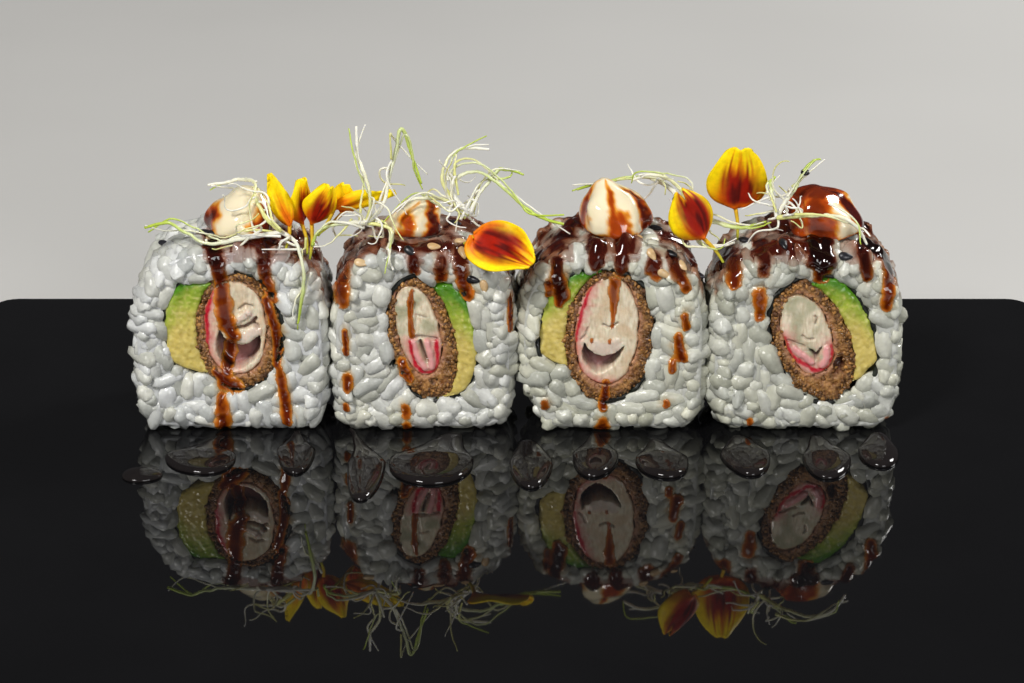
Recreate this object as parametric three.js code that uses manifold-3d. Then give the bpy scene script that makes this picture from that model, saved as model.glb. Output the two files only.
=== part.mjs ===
// Four uramaki slices side by side on a black gloss serving board, with their garnish.
// Each slice is rice rolled outside a sheet of nori, round a crumbed crab stick and a slab of avocado.
// Millimetres, +Z up. The cut faces look along -Y and lean back a little.
// The origin is under the board's centre.
import * as THREE from "three";
import { mergeVertices } from "three/addons/utils/BufferGeometryUtils.js";
import Module from "manifold-3d";

const wasm = await Module();
wasm.setup();

// Board
const BOARD_WIDTH = 260;
const BOARD_DEPTH = 186;
const BOARD_THICK = 8;
const BOARD_CORNER = 7;
const BOARD_BEVEL = 1.2;
const ROW_BACK = 32; // the row of slices stands this far behind the board's centre

// One slice
const SLICE_DEPTH = 22;
const SLICE_HEIGHT = 42.5;
const SLICE_LEAN = 0.1; // the cut faces lean back by this much for each unit of height
const GAP = 0.3; // air between pieces that touch
const RIM_TOP_POWER = 2.7; // superellipse powers: a rounder top, a squarer foot
const RIM_FOOT_POWER = 5.6;
const NORI_THICK = 0.6;
const NORI_SIDES = 28;
const CAVITY_POWER = 2.35;
const FACE_PROUD = 0.35; // fillings stand this far out of the rice's valleys

// Rice grains as bumps of their own size: two grains to a square tile
const TILES_AROUND = 16;
const TILES_ON_FACE = 2;
const TILES_ON_WALL = 3;
const GRAIN_RISE = 0.95;
const GRAIN_VALLEY = 0.55;
const EDGE_ROUND = 0.9;

// Each slice, from left to right. Lengths are from the middle of its foot, x to the right and z up.
// cavity is what the nori wraps; stick is the crumbed coat; crab is inside it.
// side is where the avocado lies; tuck is how far the left side draws in at the foot.
const SLICES = [
  {
    x: -62.7, halfWidth: 21.6, seed: 11, side: -1, crumbWobble: 0.35,
    cavity: { x: -1.3, z: 23.3, a: 13.3, b: 14.4, tilt: 0.04 },
    stick: { x: 2.1, z: 23.3, a: 9.4, b: 13.3, tilt: 0.02 },
    crab: { x: 1.3, z: 24.2, a: 6.9, b: 10.9, tilt: 0.02 },
    avocado: { low: -18, high: 11.2 },
    mouth: { x: 1.6, z: 20.4, r: 4.9, lobeX: 2.3, lobeZ: 25.2, lobeR: 5.5 },
    tail: { start: 0.55, end: -0.75, reach: 5.6 },
    mayo: { x: 2.6, y: 0.4, radius: 8, height: 9.6, tipX: 1.2 },
    seeds: [[-9.5, -4.5], [-6.5, -7.5], [10.5, 3.5], [13, -5]],
  },
  {
    x: -19.8, halfWidth: 20.3, seed: 23, side: 1, crumbWobble: 0.35,
    cavity: { x: 1.9, z: 21.7, a: 10.2, b: 15, tilt: 0.14 },
    stick: { x: -0.1, z: 21.7, a: 7.1, b: 14.4, tilt: 0.22 },
    crab: { x: -1, z: 23.6, a: 4.6, b: 10.6, tilt: 0.22 },
    avocado: { low: -18, high: 11 },
    tail: { start: 2.5, end: 3.7, reach: 4.6 },
    mayo: { x: -1.6, y: 0.5, radius: 6.3, height: 6.8, tipX: 1 },
    seeds: [[6, -6], [10.5, -2.5], [-10.5, -5], [12, 5]],
  },
  {
    x: 22.4, halfWidth: 20.9, tuck: 3.8, seed: 37, side: -1, crumbWobble: 0.4,
    cavity: { x: -3.4, z: 22.3, a: 13.2, b: 15.7, tilt: -0.06 },
    stick: { x: -0.9, z: 22, a: 9.6, b: 15.2, tilt: -0.05 },
    crab: { x: -1.4, z: 23.4, a: 7, b: 12.4, tilt: -0.05 },
    avocado: { low: -18, high: 14.8 },
    mouth: { x: -2.7, z: 19.5, r: 4.6, lobeX: -2.1, lobeZ: 23.9, lobeR: 5.1 },
    tail: { start: 0.75, end: -0.6, reach: 6 },
    mayo: { x: 0.6, y: 0.4, radius: 8, height: 11.5, tipX: -3 },
    seeds: [[8.5, -6.5], [12.5, -4], [-10, -6], [-12, 3.5]],
  },
  {
    x: 65.4, halfWidth: 21.4, seed: 53, side: 1, crumbWobble: 0.3,
    cavity: { x: 3.7, z: 21.5, a: 11.3, b: 15.2, tilt: 0.38 },
    stick: { x: 1.2, z: 21.1, a: 8.2, b: 14.6, tilt: 0.42 },
    crab: { x: 0, z: 22.6, a: 5.2, b: 9.6, tilt: 0.36 },
    avocado: { low: -12.5, high: 12.2 },
    tail: { start: 2.3, end: 3.6, reach: 7.4 },
    mayo: { x: 4.6, y: 0.5, radius: 8.4, height: 9.4, tipX: -2.5 },
    seeds: [[-8, -6.5], [-12.5, -3], [12.5, -6.5], [-6.5, 5.5]],
  },
];

// Petals: where the claw stands, how the blade turns and how large it is. Turns are in radians.
const PETAL_THICK = 0.5;
const PETALS = [
  { name: "petal_1", at: [-49.2, -1.2, 44.6], turn: [-0.1, -0.34, 0.25], width: 4.6, length: 13.2, cup: 0.9 },
  { name: "petal_2", at: [-46.6, 3, 43.4], turn: [0.05, 0.02, 0.7], width: 6.2, length: 11.6, cup: 1.8 },
  { name: "petal_3", at: [-44.4, -0.6, 44.8], turn: [0.12, 0.42, 0.1], width: 7.2, length: 11.2, cup: 1.5 },
  { name: "petal_4", at: [-38, 4.8, 45.2], turn: [0.2, 0.12, -0.5], width: 6.4, length: 8.4, cup: 1.2 },
  { name: "petal_5", at: [-39.4, 1.4, 47.6], turn: [0.3, 1.22, 0.1], width: 5, length: 15, cup: 1 },
  { name: "petal_6", at: [-8.6, -8.2, 44.6], turn: [1.9, 1, 0.15], width: 14, length: 15.6, cup: 1.6 },
  { name: "petal_7", at: [42.2, -9.1, 44.9], turn: [-0.12, -0.5, 0.35], width: 10.4, length: 13, cup: 2 },
  { name: "petal_8", at: [49.8, 3.2, 47], turn: [0.12, 0.02, 0], width: 13.4, length: 15.8, cup: 1.2 },
];
const PETAL_CELLS = 4;

// Sprouts: one tangle is one piece. Each shoot runs from the tangle's knot through its own points.
const SHOOT_RADIUS = 0.55;
const SHOOT_SIDES = 3;
const SHOOT_STEPS = 8;
const KNOT_RADIUS = 1.3;
const TANGLES = [
  {
    name: "sprouts_1",
    knot: [-50.6, -5.4, 44.9],
    shoots: [
      [[-58, -6.6, 44.4], [-66, -7.6, 43.8], [-71, -6, 45.6], [-75.5, -5, 47.4], [-81, -4, 45.4]],
      [
        [-53.6, -5.2, 48], [-56.2, -1.8, 51.6], [-57.2, 3, 53.2],
        [-60.4, 7.4, 52], [-64, 8.4, 50.8], [-68, 7.2, 51],
      ],
      [[-47, -9.4, 43.5], [-45.6, -12, 37], [-46.4, -12.6, 31], [-47.3, -12.6, 26]],
    ],
  },
  {
    name: "sprouts_2",
    knot: [-32, -3.8, 46.4],
    shoots: [
      [[-36, -5, 47], [-42, -6.4, 45.6], [-44, -8, 42.4]],
      [[-31, -4, 50.4], [-31.6, -3, 54.8], [-34.2, 0.6, 60.6], [-34.2, 2.4, 66.8]],
      [[-28, -3.6, 51], [-26.2, 0, 59], [-24.2, 1.6, 66.2], [-22.2, 1.6, 61], [-20, 0.6, 54]],
      [[-26.5, -6, 46], [-27.6, -9, 42], [-26, -11.4, 38.4]],
    ],
  },
  {
    name: "sprouts_3",
    knot: [-9.5, -1.4, 47.4],
    shoots: [
      [[-13, 0, 52], [-12, 1.8, 55.6], [-7, 2.2, 57], [-1, 1, 53], [5, -2, 48.8], [11.4, -4.4, 46.4]],
      [[-14.6, 1.6, 52.6], [-14, 4, 57.6], [-10.6, 5, 60], [-5, 5, 60.4]],
      [[-7, 3, 51.6], [-3, 5.4, 55.4], [2.6, 6.4, 53.8]],
      [[-15, -1, 50.6], [-22, -2.2, 51], [-27, -4.4, 48.4]],
    ],
  },
  {
    name: "sprouts_4",
    knot: [38, -1.2, 48],
    shoots: [
      [[35.4, 4, 51.6], [31, 8.4, 52.6], [26, 10.6, 52], [20.4, 11.2, 50.2], [14.6, 9.6, 49]],
      [[37.6, 0.6, 52.4], [34, 2.8, 55.4], [30, 3.4, 55.8], [26.6, 3.6, 53.8]],
      [[42, -2, 46.6], [50, -4, 45.6], [56, -4.4, 47]],
      [[40, -6, 44.6], [43, -8, 42], [49, -7.6, 43.4]],
    ],
  },
  {
    name: "sprouts_5",
    knot: [58.4, -3.6, 47.6],
    shoots: [
      [[60.6, -0.4, 51], [62.4, 1.6, 53.6], [64.6, 3, 56.6], [66.8, 3.2, 58.6]],
      [[62.6, -6.6, 49.4], [68, -8.8, 50.4], [74, -9.6, 48.4], [77.6, -10, 43.9]],
      [[57.4, -2, 51.6], [56.4, -0.6, 54], [58, 1, 55.4]],
    ],
  },
];

// Small even draws from a seed, so that every run gives the same grains
function drawsFrom(seed) {
  let state = seed;
  return () => {
    state = (state * 1664525 + 1013904223) % 4294967296;
    return state / 4294967296;
  };
}

function solidFrom(geometry) {
  const bare = geometry.index ? geometry.toNonIndexed() : geometry.clone();
  bare.deleteAttribute("normal");
  bare.deleteAttribute("uv");
  const merged = mergeVertices(bare, 1e-4);
  const mesh = new wasm.Mesh({
    numProp: 3,
    vertProperties: new Float32Array(merged.attributes.position.array),
    triVerts: new Uint32Array(merged.index.array),
  });
  return new wasm.Manifold(mesh);
}

function geometryFrom(solid) {
  const mesh = solid.getMesh();
  const geometry = new THREE.BufferGeometry();
  geometry.setAttribute("position", new THREE.BufferAttribute(new Float32Array(mesh.vertProperties), 3));
  geometry.setIndex(new THREE.BufferAttribute(new Uint32Array(mesh.triVerts), 1));
  geometry.computeVertexNormals();
  return geometry;
}

// The largest body of a cut solid: slivers are crumbs that fall away
function largestBody(solid) {
  return solid.decompose().reduce((best, body) => (body.volume() > best.volume() ? body : best));
}

// Polar radius of a turned superellipse, from its own centre
function radiusAt(oval, angle, power) {
  const turned = angle - oval.tilt;
  const across = Math.abs(Math.cos(turned)) / oval.a;
  const up = Math.abs(Math.sin(turned)) / oval.b;
  return (across ** power + up ** power) ** (-1 / power);
}

// Points round an oval, grown by "grow" and roughened by a sum of waves
function ovalPoints(oval, { power = 2.1, grow = 0, wobble = 0, seed = 1, count = 36 } = {}) {
  const points = [];
  for (let i = 0; i < count; i++) {
    const angle = (2 * Math.PI * i) / count;
    const rough = Math.sin(7 * angle + seed) * 0.6 + Math.sin(11 * angle + 2.3 * seed) * 0.4;
    const r = radiusAt(oval, angle, power) + grow + wobble * rough;
    points.push(new THREE.Vector2(oval.x + r * Math.cos(angle), oval.z + r * Math.sin(angle)));
  }
  return points;
}

// A closed outline drawn in x and z, run through the slice along y
function runThrough(points, depth, hole = null) {
  const shape = new THREE.Shape(points);
  if (hole) shape.holes.push(new THREE.Path(hole));
  const geometry = new THREE.ExtrudeGeometry(shape, { depth, bevelEnabled: false, steps: 1 });
  return geometry.rotateX(Math.PI / 2).translate(0, depth / 2, 0);
}

// How far the rice's rim is from the cavity's centre along a ray
function rimDistance(slice, angle) {
  const middle = SLICE_HEIGHT * 0.49;
  const halfWidth = slice.halfWidth - GRAIN_RISE;
  const inside = (r) => {
    const x = slice.cavity.x + r * Math.cos(angle);
    const z = slice.cavity.z + r * Math.sin(angle);
    const power = z > middle ? RIM_TOP_POWER : RIM_FOOT_POWER;
    const halfHeight = z > middle ? SLICE_HEIGHT - GRAIN_RISE - middle : middle + 0.6;
    const tucked = x < 0 && z < middle ? (slice.tuck ?? 0) * (1 - z / middle) ** 1.5 : 0;
    const sideways = Math.abs(x / (halfWidth - tucked)) ** power;
    const share = sideways + Math.abs((z - middle) / halfHeight) ** power;
    return share < 1 && z > 0;
  };
  let near = 0;
  let far = 60;
  for (let step = 0; step < 30; step++) {
    const half = (near + far) / 2;
    if (inside(half)) near = half;
    else far = half;
  }
  return near;
}

// A point of the rice's skin: "around" counts half tiles round the slice, "across" runs from the
// cavity over the front face, the wall and the back face to the cavity again
function ricePoint(slice, around, across, height) {
  const face = 2 * TILES_ON_FACE;
  const wall = 2 * TILES_ON_WALL;
  const angle = (Math.PI * around) / TILES_AROUND;
  const hole = radiusAt(slice.cavity, angle, CAVITY_POWER) + GAP;
  const rim = rimDistance(slice, angle);
  const out = new THREE.Vector3(Math.cos(angle), 0, Math.sin(angle));
  const front = across <= face;
  const back = across >= face + wall;
  const share = front ? across / face : back ? (2 * face + wall - across) / face : 1;
  const y = SLICE_DEPTH * (front ? -0.5 : back ? 0.5 : (across - face) / wall - 0.5);
  const away = new THREE.Vector3(0, front ? -1 : 1, 0);
  const atEdge = Math.abs(across - face) < 0.6 || Math.abs(across - face - wall) < 0.6;
  const normal = atEdge ? away.clone().add(out).normalize() : front || back ? away : out;
  const lift = atEdge ? height - EDGE_ROUND : height;
  const radius = hole + (rim - hole) * share;
  const point = new THREE.Vector3(slice.cavity.x, y, slice.cavity.z);
  point.addScaledVector(out, radius).addScaledVector(normal, lift);
  point.z = Math.max(point.z, 0);
  return point;
}

// Rice as a closed skin of hip-roofed grains. A tile's two grains lie along or across it by a draw.
function riceSkin(slice) {
  const draw = drawsFrom(slice.seed);
  const turns = 2 * TILES_AROUND;
  const last = 2 * (2 * TILES_ON_FACE + TILES_ON_WALL);
  const points = [];
  const faces = [];
  const keep = (point) => points.push(point) - 1;
  const grid = [];
  for (let i = 0; i < turns; i++) {
    grid.push([]);
    for (let k = 0; k <= last; k++) {
      const free = k > 0 && k < last;
      const sway = free ? 0.5 * (draw() - 0.5) : 0;
      const along = free ? 0.4 * (draw() - 0.5) : 0;
      const dip = free ? -GRAIN_VALLEY * (0.6 + 0.8 * draw()) : 0;
      grid[i].push(keep(ricePoint(slice, i + sway, k + along, dip)));
    }
  }
  for (let i = 0; i < turns; i += 2) {
    for (let k = 0; k < last; k += 2) {
      const flat = draw() < 0.5;
      const corner = (s, t) => grid[(i + (flat ? s : t)) % turns][k + (flat ? t : s)];
      const top = (s, t) => {
        const rise = GRAIN_RISE * (0.65 + 0.35 * draw());
        return keep(ricePoint(slice, i + (flat ? s : t), k + (flat ? t : s), rise));
      };
      for (const upper of [false, true]) {
        const edge = upper ? 2 : 0;
        const ridge = upper ? 1.48 : 0.52;
        const p = top(0.42 + 0.16 * draw(), ridge);
        const q = top(1.42 + 0.16 * draw(), ridge);
        const made = [
          [corner(0, edge), corner(1, edge), p],
          [corner(0, 1), corner(0, edge), p],
          [corner(1, edge), q, p],
          [corner(1, edge), corner(2, edge), q],
          [corner(2, edge), corner(2, 1), q],
          [q, corner(2, 1), corner(0, 1)],
          [p, q, corner(0, 1)],
        ];
        for (const [a, b, c] of made) faces.push(upper === flat ? [a, b, c] : [a, c, b]);
      }
    }
  }
  for (let i = 0; i < turns; i++) {
    const next = (i + 1) % turns;
    faces.push([grid[i][0], grid[next][0], grid[next][last]]);
    faces.push([grid[i][0], grid[next][last], grid[i][last]]);
  }
  const geometry = new THREE.BufferGeometry().setFromPoints(points);
  geometry.setIndex(faces.flat());
  return geometry;
}

// Seeds that lie on the rice, at true size
function seedSolid(slice, [x, y], turn) {
  const angle = Math.atan2(SLICE_HEIGHT - slice.cavity.z, x - slice.cavity.x);
  const height = slice.cavity.z + rimDistance(slice, angle) * Math.sin(angle);
  const seed = new THREE.SphereGeometry(1, 5, 3).scale(1.7, 1.05, 0.75).rotateZ(turn);
  return solidFrom(seed.translate(x, y, height + 0.5));
}

// The nori's free end leaves the ring and runs into the rice
function tailPoints(slice, grow) {
  const steps = 8;
  const outer = [];
  const inner = [];
  for (let i = 0; i <= steps; i++) {
    const share = i / steps;
    const angle = slice.tail.start + (slice.tail.end - slice.tail.start) * share;
    const away = slice.tail.reach * Math.sin((share * Math.PI) / 2) ** 1.4;
    const middle = radiusAt(slice.cavity, angle, CAVITY_POWER) - NORI_THICK / 2 + away;
    const end = i === steps ? grow / 10 : 0;
    const at = (r) => new THREE.Vector2(
      slice.cavity.x + r * Math.cos(angle + end * Math.sign(slice.tail.end - slice.tail.start)),
      slice.cavity.z + r * Math.sin(angle + end * Math.sign(slice.tail.end - slice.tail.start)),
    );
    outer.push(at(middle + NORI_THICK / 2 + grow));
    inner.unshift(at(middle - NORI_THICK / 2 - grow));
  }
  return [...outer, ...inner];
}

function riceOf(slice) {
  let solid = solidFrom(riceSkin(slice));
  if (solid.volume() < 0) throw new Error("the rice is inside out");
  solid = solid.subtract(solidFrom(runThrough(tailPoints(slice, GAP), SLICE_DEPTH + 8)));
  const draw = drawsFrom(slice.seed + 1);
  for (const place of slice.seeds) solid = solid.add(seedSolid(slice, place, Math.PI * draw()));
  return largestBody(solid);
}

function noriOf(slice) {
  const outer = ovalPoints(slice.cavity, { power: CAVITY_POWER, count: NORI_SIDES });
  const inner = ovalPoints(slice.cavity, { power: CAVITY_POWER, grow: -NORI_THICK, count: NORI_SIDES });
  const ring = solidFrom(runThrough(outer, SLICE_DEPTH, inner));
  const within = solidFrom(runThrough(inner, SLICE_DEPTH + 2));
  const tail = solidFrom(runThrough(tailPoints(slice, 0), SLICE_DEPTH)).subtract(within);
  return largestBody(ring.add(tail));
}

// All that the nori wraps: fillings are cut to this room
function roomOf(slice, depth) {
  const outline = ovalPoints(slice.cavity, { power: CAVITY_POWER, grow: -NORI_THICK - GAP });
  return solidFrom(runThrough(outline, depth));
}

function crumbOf(slice) {
  const depth = SLICE_DEPTH + 2 * FACE_PROUD;
  const wobble = slice.crumbWobble;
  const outline = ovalPoints(slice.stick, { grow: -wobble, wobble, seed: slice.seed });
  const hole = ovalPoints(slice.crab, { power: 2.2, grow: GAP, count: 28 });
  return largestBody(solidFrom(runThrough(outline, depth, hole)).intersect(roomOf(slice, depth)));
}

function crabOf(slice) {
  const depth = SLICE_DEPTH + 2 * FACE_PROUD;
  const body = solidFrom(runThrough(ovalPoints(slice.crab, { power: 2.2, count: 28 }), depth));
  if (!slice.mouth) return body;
  const { x, z, r, lobeX, lobeZ, lobeR } = slice.mouth;
  const room = { x, z, a: r, b: r, tilt: 0 };
  const lobe = { x: lobeX, z: lobeZ, a: lobeR, b: lobeR, tilt: 0 };
  const hollow = solidFrom(runThrough(ovalPoints(room, { power: 2, count: 16 }), depth + 2));
  const rolled = solidFrom(runThrough(ovalPoints(lobe, { power: 2, count: 20 }), depth + 4));
  return largestBody(body.subtract(hollow.subtract(rolled)));
}

// The avocado fills the room beside the stick, cut square at its two ends
function avocadoOf(slice) {
  const depth = SLICE_DEPTH + 2 * FACE_PROUD;
  const grown = ovalPoints(slice.stick, { grow: GAP + 0.08 });
  const { low, high } = slice.avocado;
  const reach = 30;
  const slab = new THREE.BoxGeometry(reach, depth + 2, high - low);
  slab.translate((slice.side * reach) / 2, 0, (high + low) / 2);
  slab.rotateY(-slice.stick.tilt).translate(slice.stick.x, 0, slice.stick.z);
  const beside = roomOf(slice, depth).subtract(solidFrom(runThrough(grown, depth + 4)));
  return largestBody(beside.intersect(solidFrom(slab)));
}

// A piped dollop: a round foot, a full belly and a tip that leans
function mayoOf(slice) {
  const { x, y, radius, height, tipX } = slice.mayo;
  const profile = [
    [0, 0], [0.86, 0], [1, 0.16], [0.97, 0.38],
    [0.78, 0.62], [0.46, 0.82], [0.16, 0.95], [0, 1],
  ];
  const points = profile.map(([r, h]) => new THREE.Vector2(r * radius, h * height));
  const dollop = new THREE.LatheGeometry(points, 10).rotateX(Math.PI / 2);
  const at = dollop.attributes.position;
  for (let i = 0; i < at.count; i++) {
    const share = at.getZ(i) / height;
    at.setX(i, at.getX(i) + tipX * share ** 2);
  }
  return solidFrom(dollop.translate(x, y, SLICE_HEIGHT + GAP));
}

// A petal: a narrow claw that opens into a cupped blade, waved along its rim
function petalGeometry({ width, length, cup }) {
  const cells = PETAL_CELLS;
  const sheet = (side) => {
    const rows = [];
    for (let v = 0; v <= cells; v++) {
      const rise = v / cells;
      const half = (width / 2) * Math.max(0.14, Math.sin(Math.PI * rise ** 0.75 * 0.93) ** 0.8);
      for (let u = 0; u <= cells; u++) {
        const share = (2 * u) / cells - 1;
        const tip = length * (rise - 0.1 * share ** 2 * rise);
        const bend = cup * (share ** 2 - 0.5 * rise) + 0.25 * Math.sin(5 * share + 4 * rise);
        rows.push(new THREE.Vector3(share * half, bend + (side * PETAL_THICK) / 2, tip));
      }
    }
    return rows;
  };
  const points = [...sheet(-1), ...sheet(1)];
  const across = cells + 1;
  const second = across * across;
  const faces = [];
  for (let v = 0; v < cells; v++) {
    for (let u = 0; u < cells; u++) {
      const a = v * across + u;
      const [b, c, d] = [a + 1, a + across + 1, a + across];
      faces.push([a, b, c], [a, c, d]);
      faces.push([second + a, second + c, second + b], [second + a, second + d, second + c]);
    }
  }
  const rim = [];
  for (let u = 0; u < cells; u++) rim.push(u);
  for (let v = 0; v < cells; v++) rim.push(v * across + cells);
  for (let u = cells; u > 0; u--) rim.push(cells * across + u);
  for (let v = cells; v > 0; v--) rim.push(v * across);
  rim.forEach((a, i) => {
    const b = rim[(i + 1) % rim.length];
    faces.push([a, second + a, second + b], [a, second + b, b]);
  });
  const geometry = new THREE.BufferGeometry().setFromPoints(points);
  geometry.setIndex(faces.flat());
  return geometry;
}

function petalSolid(petal) {
  const geometry = petalGeometry(petal);
  const [x, y, z] = petal.turn;
  geometry.applyMatrix4(new THREE.Matrix4().makeRotationFromEuler(new THREE.Euler(x, y, z)));
  return solidFrom(geometry);
}

// One shoot: a thin tube along a smooth curve through its points
function shootSolid(knot, places) {
  const curve = new THREE.CatmullRomCurve3([knot, ...places].map((p) => new THREE.Vector3(...p)));
  const section = new THREE.Shape();
  for (let i = 0; i < SHOOT_SIDES; i++) {
    const angle = (2 * Math.PI * i) / SHOOT_SIDES;
    const point = [SHOOT_RADIUS * Math.cos(angle), SHOOT_RADIUS * Math.sin(angle)];
    if (i === 0) section.moveTo(...point);
    else section.lineTo(...point);
  }
  const options = { steps: SHOOT_STEPS, extrudePath: curve, bevelEnabled: false };
  const tube = new THREE.ExtrudeGeometry(section, options);
  return solidFrom(tube);
}

function tangleSolid(tangle) {
  let solid = solidFrom(new THREE.IcosahedronGeometry(KNOT_RADIUS, 0).translate(...tangle.knot));
  for (const shoot of tangle.shoots) solid = solid.add(shootSolid(tangle.knot, shoot));
  return largestBody(solid);
}

// A plain slab with round corners and a bevelled rim
function boardGeometry() {
  const flat = BOARD_BEVEL;
  const x = BOARD_WIDTH / 2 - flat;
  const y = BOARD_DEPTH / 2 - flat;
  const r = BOARD_CORNER - flat;
  const shape = new THREE.Shape();
  shape.moveTo(-x + r, -y);
  shape.lineTo(x - r, -y);
  shape.absarc(x - r, -y + r, r, -Math.PI / 2, 0);
  shape.lineTo(x, y - r);
  shape.absarc(x - r, y - r, r, 0, Math.PI / 2);
  shape.lineTo(-x + r, y);
  shape.absarc(-x + r, y - r, r, Math.PI / 2, Math.PI);
  shape.lineTo(-x, -y + r);
  shape.absarc(-x + r, -y + r, r, Math.PI, 1.5 * Math.PI);
  const depth = BOARD_THICK - 2 * flat;
  const bevel = { bevelEnabled: true, bevelThickness: flat, bevelSize: flat, bevelSegments: 1 };
  const options = { depth, curveSegments: 3, ...bevel };
  return new THREE.ExtrudeGeometry(shape, options).translate(0, 0, flat);
}

const finish = (color, roughness) => new THREE.MeshStandardMaterial({ color, roughness, metalness: 0 });
const FINISHES = {
  board: finish(0x060607, 0.06),
  rice: finish(0xe4e4da, 0.35),
  nori: finish(0x10140f, 0.5),
  crumb: finish(0xb07c33, 0.8),
  crab: finish(0xeadfd6, 0.4),
  avocado: finish(0xb9c25a, 0.4),
  mayo: finish(0xf3e6bd, 0.25),
  petal: finish(0xf2a50f, 0.5),
  sprouts: finish(0xdfe6b4, 0.4),
};

const set = new THREE.Group();
const add = (parent, name, geometry, material) => {
  const mesh = new THREE.Mesh(geometry, material);
  mesh.name = name;
  parent.add(mesh);
};

add(set, "board", geometryFrom(solidFrom(boardGeometry())), FINISHES.board);

const row = new THREE.Group();
row.position.set(0, ROW_BACK, BOARD_THICK + GAP);
set.add(row);

const lean = new THREE.Matrix4().set(
  1, 0, 0, 0,
  0, 1, SLICE_LEAN, -SLICE_LEAN * (SLICE_HEIGHT / 2),
  0, 0, 1, 0,
  0, 0, 0, 1,
);
SLICES.forEach((slice, i) => {
  const place = new THREE.Group();
  place.position.x = slice.x;
  row.add(place);
  const layers = {
    rice: riceOf(slice), nori: noriOf(slice), crumb: crumbOf(slice),
    crab: crabOf(slice), avocado: avocadoOf(slice), mayo: mayoOf(slice),
  };
  for (const [layer, solid] of Object.entries(layers)) {
    add(place, `${layer}_${i + 1}`, geometryFrom(solid).applyMatrix4(lean), FINISHES[layer]);
  }
});

for (const petal of PETALS) {
  const place = new THREE.Group();
  place.position.set(...petal.at);
  row.add(place);
  add(place, petal.name, geometryFrom(petalSolid(petal)), FINISHES.petal);
}
for (const tangle of TANGLES) {
  add(row, tangle.name, geometryFrom(tangleSolid(tangle)), FINISHES.sprouts);
}

export default set;
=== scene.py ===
import math

import bpy
import numpy as np
from mathutils import Matrix, Vector, noise
from mathutils.bvhtree import BVHTree
from mathutils.geometry import delaunay_2d_cdt


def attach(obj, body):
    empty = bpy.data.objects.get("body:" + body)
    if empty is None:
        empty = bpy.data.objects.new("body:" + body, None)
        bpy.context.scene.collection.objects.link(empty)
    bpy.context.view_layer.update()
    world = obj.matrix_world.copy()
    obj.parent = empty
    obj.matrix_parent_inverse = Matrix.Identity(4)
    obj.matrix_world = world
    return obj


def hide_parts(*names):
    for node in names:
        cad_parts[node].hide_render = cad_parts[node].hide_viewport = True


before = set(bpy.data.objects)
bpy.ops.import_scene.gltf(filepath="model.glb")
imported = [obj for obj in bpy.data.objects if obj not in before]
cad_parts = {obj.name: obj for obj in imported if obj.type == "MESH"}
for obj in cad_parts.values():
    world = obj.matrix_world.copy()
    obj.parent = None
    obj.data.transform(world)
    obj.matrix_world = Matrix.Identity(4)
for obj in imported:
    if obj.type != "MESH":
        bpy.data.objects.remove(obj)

bl_info = {
    "name": "Uramaki slices on a black board",
    "version": (1, 0, 0),
    "blender": (4, 5, 0),
    "location": "View3D > Sidebar > Uramaki",
    "description": "Dresses a row of rice rolls, their sauce and their garnish over the packed solids",
    "category": "Add Mesh",
}

# Everything is worked out in millimetres in the row's own frame: x to the right, y away from the
# viewer, z up from the slices' foot. ROW is where that frame stands over the board's centre. A power
# is how square an oval is: 2 is an ellipse, and a higher one is squarer.
MM = 0.001
ROW = np.array((0.0, 32.0, 8.3))
SLICE_DEPTH = 22.0
SLICE_HEIGHT = 42.5
SLICE_LEAN = 0.1
RIM_TOP_POWER = 2.7
RIM_FOOT_POWER = 5.6
NORI_THICK = 0.6
CAVITY_POWER = 2.35
STICK_POWER = 2.1
CRAB_POWER = 2.2
RIM_MIDDLE = SLICE_HEIGHT * 0.49
FOOT_BELOW = 0.6

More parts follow.
